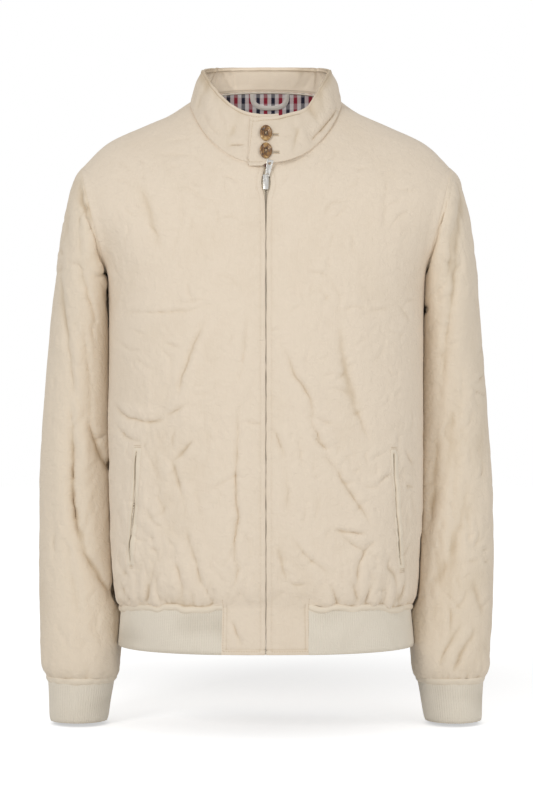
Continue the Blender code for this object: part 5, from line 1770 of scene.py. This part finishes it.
# rows of small blocks, each a box with drawn-in ends, in turn on the left and the right tape; above the
# slider they stand aside with the fronts
def makeTeeth():
    form = zipForm
    low = torsoTable[0, 3] + 0.001
    count = int((form["teethTop"] - low) / (0.5 * form["toothPitch"]))
    z = low + (np.arange(count) + 0.5) * 0.5 * form["toothPitch"]
    side = np.where(np.arange(count) % 2 == 0, -1.0, 1.0)
    apart = np.maximum(frontEdge(z) - bodyForm["edgeGap"], 0.0) * (z > form["chainTop"])
    x = side * (apart + 0.40 * form["toothLength"])
    centre = np.stack([x, frontLine(z) - 0.0002, z], axis=-1)
    turn = np.radians(form["toothTurns"])
    sizes = np.array(form["toothSizes"])[:, None]
    ringX = 0.5 * form["toothLength"] * np.clip(np.cos(turn) * 1.25, -1.0, 1.0) * sizes
    ringZ = 0.5 * 0.62 * form["toothHeight"] * np.clip(np.sin(turn) * 1.25, -1.0, 1.0) * sizes
    depths = np.array(form["toothLevels"])[:, None] * form["toothDepth"]
    ring = np.stack([ringX, depths + 0.0 * ringX, ringZ], axis=-1)
    vertices = (centre[:, None, None] + ring).reshape(-1, 3)
    caps = [[0, 7, 6, 1], [1, 6, 5, 2], [2, 5, 4, 3], [16, 17, 22, 23], [17, 18, 21, 22], [18, 19, 20, 21]]
    block = np.concatenate([gridFaces(3, 8, True).reshape(-1, 4), caps])
    made = addMesh("zipTeeth", vertices, repeatedFaces(block, 24, count), toothNickel)
    cleanMesh(made.data)
    standFor(made, "zip_chain")


# a merged copy of a model part with rounded edges, for metal that catches the light along them
def roundedCopy(node, name, width, body):
    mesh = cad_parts[node].data.copy()
    mesh.name = name
    cleanMesh(mesh, merge=0.00002, flat=math.radians(3.0))
    mesh.materials.clear()
    mesh.materials.append(nickel)
    made = addObject(name, mesh)
    roundEdges(made, "rounding", width, 28.0)
    mesh.shade_smooth()
    standFor(made, node, body)


pocketLines = {}
for word, side, front in (("right", -1.0, "frontRight"), ("left", 1.0, "frontLeft")):
    pocketLines[word] = makePocket(word, front)
    makeTape(word, side)
makeTeeth()
roundedCopy("zip_slider", "zipSlider", 0.00025, "jacket")
roundedCopy("zip_pull", "zipPull", 0.00018, "pull_tab")
print("pockets and zip made")


# buttons

buttonForm = {
    "halfWidth": 0.00775,
    "tall": 0.0106 / 0.00775,
    # name, node, height on the collar and degrees of turn
    "places": (
        ("buttonUpper", "button_upper", -0.0505, 8.0),
        ("buttonLower", "button_lower", -0.0733, -11.0),
    ),
    # share of the half width and height over the back, from the middle of the face round to the back
    "profile": np.array([
        (0.0, 0.0020), (0.30, 0.0020), (0.52, 0.0021), (0.60, 0.0023), (0.66, 0.0028), (0.72, 0.0031),
        (0.82, 0.0032), (0.90, 0.0031), (0.96, 0.0027), (1.0, 0.0020), (1.0, 0.0015), (0.96, 0.0009),
        (0.80, 0.0004), (0.60, 0.0001), (0.30, 0.0), (0.0, 0.0),
    ]),
    "sides": 48,
    "holeRadius": 0.00095,
    "holeReach": 0.0019,
    "seat": 0.0005,
    "threadTop": 0.0024,
    "threadDip": 0.0012,
    "threadRadius": 0.00032,
}


# where a button lies on the lapped collar: the middle of its back, turned square to the collar's slope
def buttonPlace(height):
    low = torsoTable[neckRow, 2:4]
    high = np.array(collarForm["topFront"])
    slope = (high - low) / np.linalg.norm(high - low)
    depth = np.interp(height, [low[1], high[1]], [low[0], high[0]])
    out = collarForm["lapLift"] + bodyForm["collarWall"] + buttonForm["seat"]
    centre = Vector((0.0, depth - out * slope[1], height + out * slope[0]))
    tilt = math.atan2(slope[0], slope[1])
    return Matrix.Translation(centre) @ Matrix.Rotation(0.5 * math.pi - tilt, 4, "X")


# four drilled holes, on the corners of a square
def drillHoles(made):
    reach, radius = buttonForm["holeReach"], buttonForm["holeRadius"]
    work = bmesh.new()
    for corner in np.radians(45.0 + 90.0 * np.arange(4)):
        place = Matrix.Translation((reach * math.cos(corner), reach * math.sin(corner), 0.0))
        bmesh.ops.create_cone(work, cap_ends=True, segments=16, radius1=radius, radius2=radius, depth=0.02,
                              matrix=place)
    drill = addObject("drill", bpy.data.meshes.new("drill"))
    work.to_mesh(drill.data)
    work.free()
    cut = made.modifiers.new("holes", "BOOLEAN")
    cut.object = drill
    cut.operation = "DIFFERENCE"
    bpy.context.view_layer.update()
    made.data = bpy.data.meshes.new_from_object(made.evaluated_get(bpy.context.evaluated_depsgraph_get()))
    made.modifiers.clear()
    bpy.data.objects.remove(drill, do_unlink=True)


# a profile turned round its axis, stretched to an oval, with four holes; gives back the thread through them
def makeButton(name, node, height, turned):
    form = buttonForm
    sides, profile = form["sides"], form["profile"]
    across, up = profile[1:-1, 0:1], profile[1:-1, 1:2]
    turn = roundTurns(sides)
    ring = np.stack([across * np.cos(turn), across * np.sin(turn), up + 0.0 * turn], axis=-1)
    vertices = np.concatenate([ring.reshape(-1, 3), [[0.0, 0.0, profile[0, 1]], [0.0, 0.0, 0.0]]])
    vertices[:, :2] *= form["halfWidth"]
    spin = np.arange(sides)
    near = (spin + 1) % sides
    last = (len(across) - 1) * sides
    quads = gridFaces(len(across), sides, True)[..., [0, 3, 2, 1]].reshape(-1, 4)
    front = np.stack([spin, near, np.full(sides, last + sides)], axis=-1)
    rear = np.stack([last + near, last + spin, np.full(sides, last + sides + 1)], axis=-1)
    mesh = bpy.data.meshes.new(name)
    mesh.from_pydata(vertices.tolist(), [], quads.tolist() + front.tolist() + rear.tolist())
    made = addObject(name, mesh)
    drillHoles(made)
    place = buttonPlace(height)
    stretch = Matrix.Diagonal((1.0, form["tall"], 1.0, 1.0))
    made.data.transform(place @ stretch @ Matrix.Rotation(math.radians(turned), 4, "Z"))
    made.data.materials.clear()
    made.data.materials.append(horn)
    cleanMesh(made.data, merge=0.00001)
    made.data.set_sharp_from_angle(angle=math.radians(50.0))
    standFor(made, node)
    # thread through the holes in a cross
    runs = []
    reach = form["holeReach"] * 1.05
    share = np.linspace(-1.0, 1.0, 9)[:, None]
    normal = np.array(place.to_3x3() @ Vector((0.0, 0.0, 1.0)))
    for angle in np.radians([45.0 + turned, 135.0 + turned]):
        path = share * np.array([[reach * math.cos(angle), reach * math.sin(angle) * form["tall"], 0.0]])
        path[:, 2] = form["threadTop"] - form["threadDip"] * np.abs(share[:, 0]) ** 6
        path = np.array([place @ Vector(point) for point in path])
        runs.append(stitchBars(path, np.tile(normal, (9, 1)), 1.0, 2.0 * reach, form["threadRadius"]))
    return runs


buttonThreads = []
for place in buttonForm["places"]:
    buttonThreads += makeButton(*place)
addStitches("buttonThreads", buttonThreads, threadPolyester)
print("buttons made")


# stitching

stitchForm = {
    "blockInset": 0.0020,
    "pocketInset": 0.0014,
    "barHalfWidth": 0.0062,
    "barRows": 4,
    "barPitch": 0.0021,
    "barThread": 0.00020,
    "holeInner": 0.0082,
    "holeOuter": 0.0172,
    "holeHalfHeight": 0.0009,
    "holeStitch": (0.0009, 0.0011, 0.00045),    # pitch, length and radius
    "slitShadowRadius": 0.0004,
}


# stitches along a line over a piece's outer side, from one fractional row and column to another
def sewLine(name, rows, columns, *sizes):
    place = (np.asarray(rows, float), np.asarray(columns, float))
    return stitchBars(*(onGrid(grid, *place) for grid in outerSide[name][:2]), *sizes)


# topstitching of a front: beside the zip, and inside the two free edges of its block
def frontRuns(name):
    u, v = gridLengths(outerSide[name][0])
    rows, columns = (np.arange(count) for count in u.shape)
    inset = stitchForm["blockInset"]
    column = np.array([np.interp(frontForm["stitchFromEdge"], line, columns) for line in u])
    blockEdge = np.array([np.interp(line[frontForm["columns"][0]] - inset, line, columns) for line in u])
    low = np.interp(inset * 2.2, v[:, 4], rows)
    climb = np.linspace(low, frontForm["rows"][0] + 4.0, 60)
    across = np.linspace(column[4], blockEdge[4], 40)
    side = np.interp(climb, rows, blockEdge)
    lines = ((rows[3:-3], column[3:-3]), (climb, side), (np.full(40, low), across))
    return [sewLine(name, *line) for line in lines]


# two rows of stitches beside a pocket and a bar of long ones across each end
def pocketRuns(front, x, z):
    form = stitchForm
    runs = []
    middle = 0.5 * (x[:, :1] + x[:, -1:])
    half = 0.5 * pocketForm["width"] + form["pocketInset"]
    for way in (-1.0, 1.0):
        points, normals = onFront(front, middle + way * half, z[:, :1])
        runs.append(stitchBars(points[:, 0], normals[:, 0]))
    wide = np.linspace(-1.0, 1.0, 7) * form["barHalfWidth"]
    for end in (0, -1):
        for k in range(form["barRows"]):
            drop = (k - 0.5 * form["barRows"]) * form["barPitch"]
            points, normals = onFront(front, middle[end, 0] + wide, np.full(7, z[end, 0] + drop))
            points = points + form["barThread"] * normals
            runs.append(stitchBars(points, normals, 1.0, 2.0 * form["barHalfWidth"], form["barThread"]))
    return runs


# the collar's stitching: along the top, down the lapped end and along the lapped foot
def collarRuns():
    points, turns = outerSide["collarBand"][::2]
    u, v = gridLengths(points)
    rows, columns = (np.arange(count) for count in u.shape)
    fromEnd = collarLook["stitchFromEnd"]
    fromTop = np.array([np.interp(line[-1] - collarLook["stitchFromTop"], line, rows) for line in v.T])
    endColumn = np.interp(u[-1, -1] - fromEnd, u[-1], columns)
    along = np.linspace(4.0, endColumn, 500)
    foot = np.interp(fromEnd, v[:, int(endColumn) - 2], rows)
    down = np.linspace(np.interp(endColumn, columns, fromTop), foot, 60)
    edge = np.array([np.interp(u[int(r), -1] - fromEnd, u[int(r)], columns) for r in down])
    over = np.linspace(edge[-1], np.interp(math.radians(361.0), turns, columns), 50)
    rise = np.array([np.interp(fromEnd, v[:, int(c)], rows) for c in over])
    lines = ((np.interp(along, columns, fromTop), along), (down, edge), (rise, over))
    return [sewLine("collarBand", *line) for line in lines]


# a worked buttonhole beside each button: two close rows of stitches about a slit of painted shadow
def buttonholeRuns():
    form = stitchForm
    points, turns = outerSide["collarBand"][::2]
    runs = []
    slits = []
    rowStep = np.linalg.norm(points[20, 100] - points[19, 100])
    places = np.linspace(form["holeInner"], form["holeOuter"], 12)
    column = np.array([np.interp(2.0 * math.pi - neckTurn(x), turns, np.arange(len(turns))) for x in places])
    for height in (place[2] for place in buttonForm["places"]):
        level = np.array([np.interp(height, points[:, int(c), 2], np.arange(len(points))) for c in column])
        for way in (-1.0, 1.0):
            aside = way * form["holeHalfHeight"] / rowStep
            runs.append(sewLine("collarBand", level + aside, column, *form["holeStitch"]))
        long = form["holeOuter"] - form["holeInner"]
        # the slit is a thin dark bar: painted shadow
        slits.append(sewLine("collarBand", level, column, 1.0, long, form["slitShadowRadius"]))
    return runs, slits


runs = collarRuns()
pale = []
for word, front in (("right", "frontRight"), ("left", "frontLeft")):
    besideZip, *block = frontRuns(front)
    sides = pocketRuns(front, *pocketLines[word])
    runs += block + sides[2:]
    pale += [besideZip] + sides[:2]
holes, slits = buttonholeRuns()
addStitches("seamStitches", runs, threadPolyester)
addStitches("paleStitches", pale, paleThread)
addStitches("buttonholeThreads", holes, threadPolyester)
addStitches("buttonholeSlits", slits, slitShadow)
print("stitching made")


# floor, light and camera

stageForm = {
    "floorZ": -0.8050,
    "floorSize": 14.0,
    "floorColour": "#EEEEEE",
    "floorGlow": 0.53,          # seen by the camera alone, so that the paper is white but casts little light
    "shadeMiddle": (0.0, 0.45), # a painted shadow: the paper is dimmer in a soft round behind the hem
    "shadeSize": (0.38, 0.28),
    "shadeDepth": 0.20,
    "skyStrength": 0.62,
}


# the paper: its glow is less by the exponent of minus the squared distance from the middle of its painted
# shadow
def makeFloor():
    form = stageForm
    made, tree, shader = newMaterial("studio_paper")
    path = addNode(tree, "LightPath", output="Is Camera Ray")
    solid = addNode(tree, "TexCoord", output="Object")
    away = 0.0
    for axis, middle, size in zip("XY", form["shadeMiddle"], form["shadeSize"]):
        place = addNode(tree, "SeparateXYZ", {"Vector": solid}, output=axis)
        place = addNode(tree, "Math", {0: place, 1: 1.0 / size, 2: -middle / size}, operation="MULTIPLY_ADD")
        away = addNode(tree, "Math", {0: place, 1: place, 2: away}, operation="MULTIPLY_ADD")
    shade = addNode(tree, "Math", {0: away, 1: -1.0}, operation="MULTIPLY")
    shade = addNode(tree, "Math", {0: shade}, operation="EXPONENT")
    glow = {0: shade, 1: -form["shadeDepth"], 2: form["floorGlow"]}
    glow = addNode(tree, "Math", glow, operation="MULTIPLY_ADD")
    setInputs(tree, shader, {
        "Base Color": hexColour(form["floorColour"]),
        "Roughness": 0.95,
        "Specular IOR Level": 0.0,
        "Emission Color": hexColour("#FFFFFF"),
        "Emission Strength": addNode(tree, "Math", {0: path, 1: glow}, operation="MULTIPLY"),
    })
    half = 0.5 * form["floorSize"]
    corners = [(-half, -half), (half, -half), (half, half), (-half, half)]
    corners = np.array([(x, y, form["floorZ"]) for x, y in corners])
    addMesh("studioFloor", corners, np.array([[0, 1, 2, 3]]), made)


lampForm = {
    # place, point it faces, width, height, watts
    "key": ((-1.4, -2.2, 1.0), (0.0, 0.0, -0.50), 0.8, 0.8, 20.0),
    "fill": ((1.6, -2.3, -0.3), (0.0, 0.0, -0.60), 1.4, 0.8, 13.0),
}


# two lamps, and a sky that is white to the camera and dimmer as a light
def makeLight():
    for name, (place, target, width, height, watts) in lampForm.items():
        lamp = bpy.data.lights.new(name + "Light", "AREA")
        lamp.shape = "RECTANGLE"
        lamp.size = width
        lamp.size_y = height
        lamp.energy = watts
        holder = addObject(name + "Light", lamp)
        holder.location = place
        holder.rotation_euler = (Vector(target) - Vector(place)).to_track_quat("-Z", "Y").to_euler()
    world = bpy.data.worlds.new("studioWorld")
    bpy.context.scene.world = world
    world.use_nodes = True
    tree = world.node_tree
    path = addNode(tree, "LightPath", output="Is Camera Ray")
    strength = {"Value": path, "To Min": stageForm["skyStrength"], "To Max": 1.0}
    setInputs(tree, tree.nodes["Background"], {
        "Color": hexColour("#FFFFFF"),
        "Strength": addNode(tree, "MapRange", strength),
    })


cameraForm = {
    "place": (0.0007, -2.6, -0.3835),
    "sensor": 36.0,             # height, mm
    "lens": 90.0,
}


def makeCamera():
    lens = bpy.data.cameras.new("studioCamera")
    lens.sensor_fit = "VERTICAL"
    lens.sensor_height = cameraForm["sensor"]
    lens.lens = cameraForm["lens"]
    camera = addObject("studioCamera", lens)
    camera.location = cameraForm["place"]
    camera.rotation_euler = (0.5 * math.pi, 0.0, 0.0)
    bpy.context.scene.camera = camera


makeFloor()
makeLight()
makeCamera()
bpy.context.scene.view_settings.view_transform = "Standard"
print("stage made")
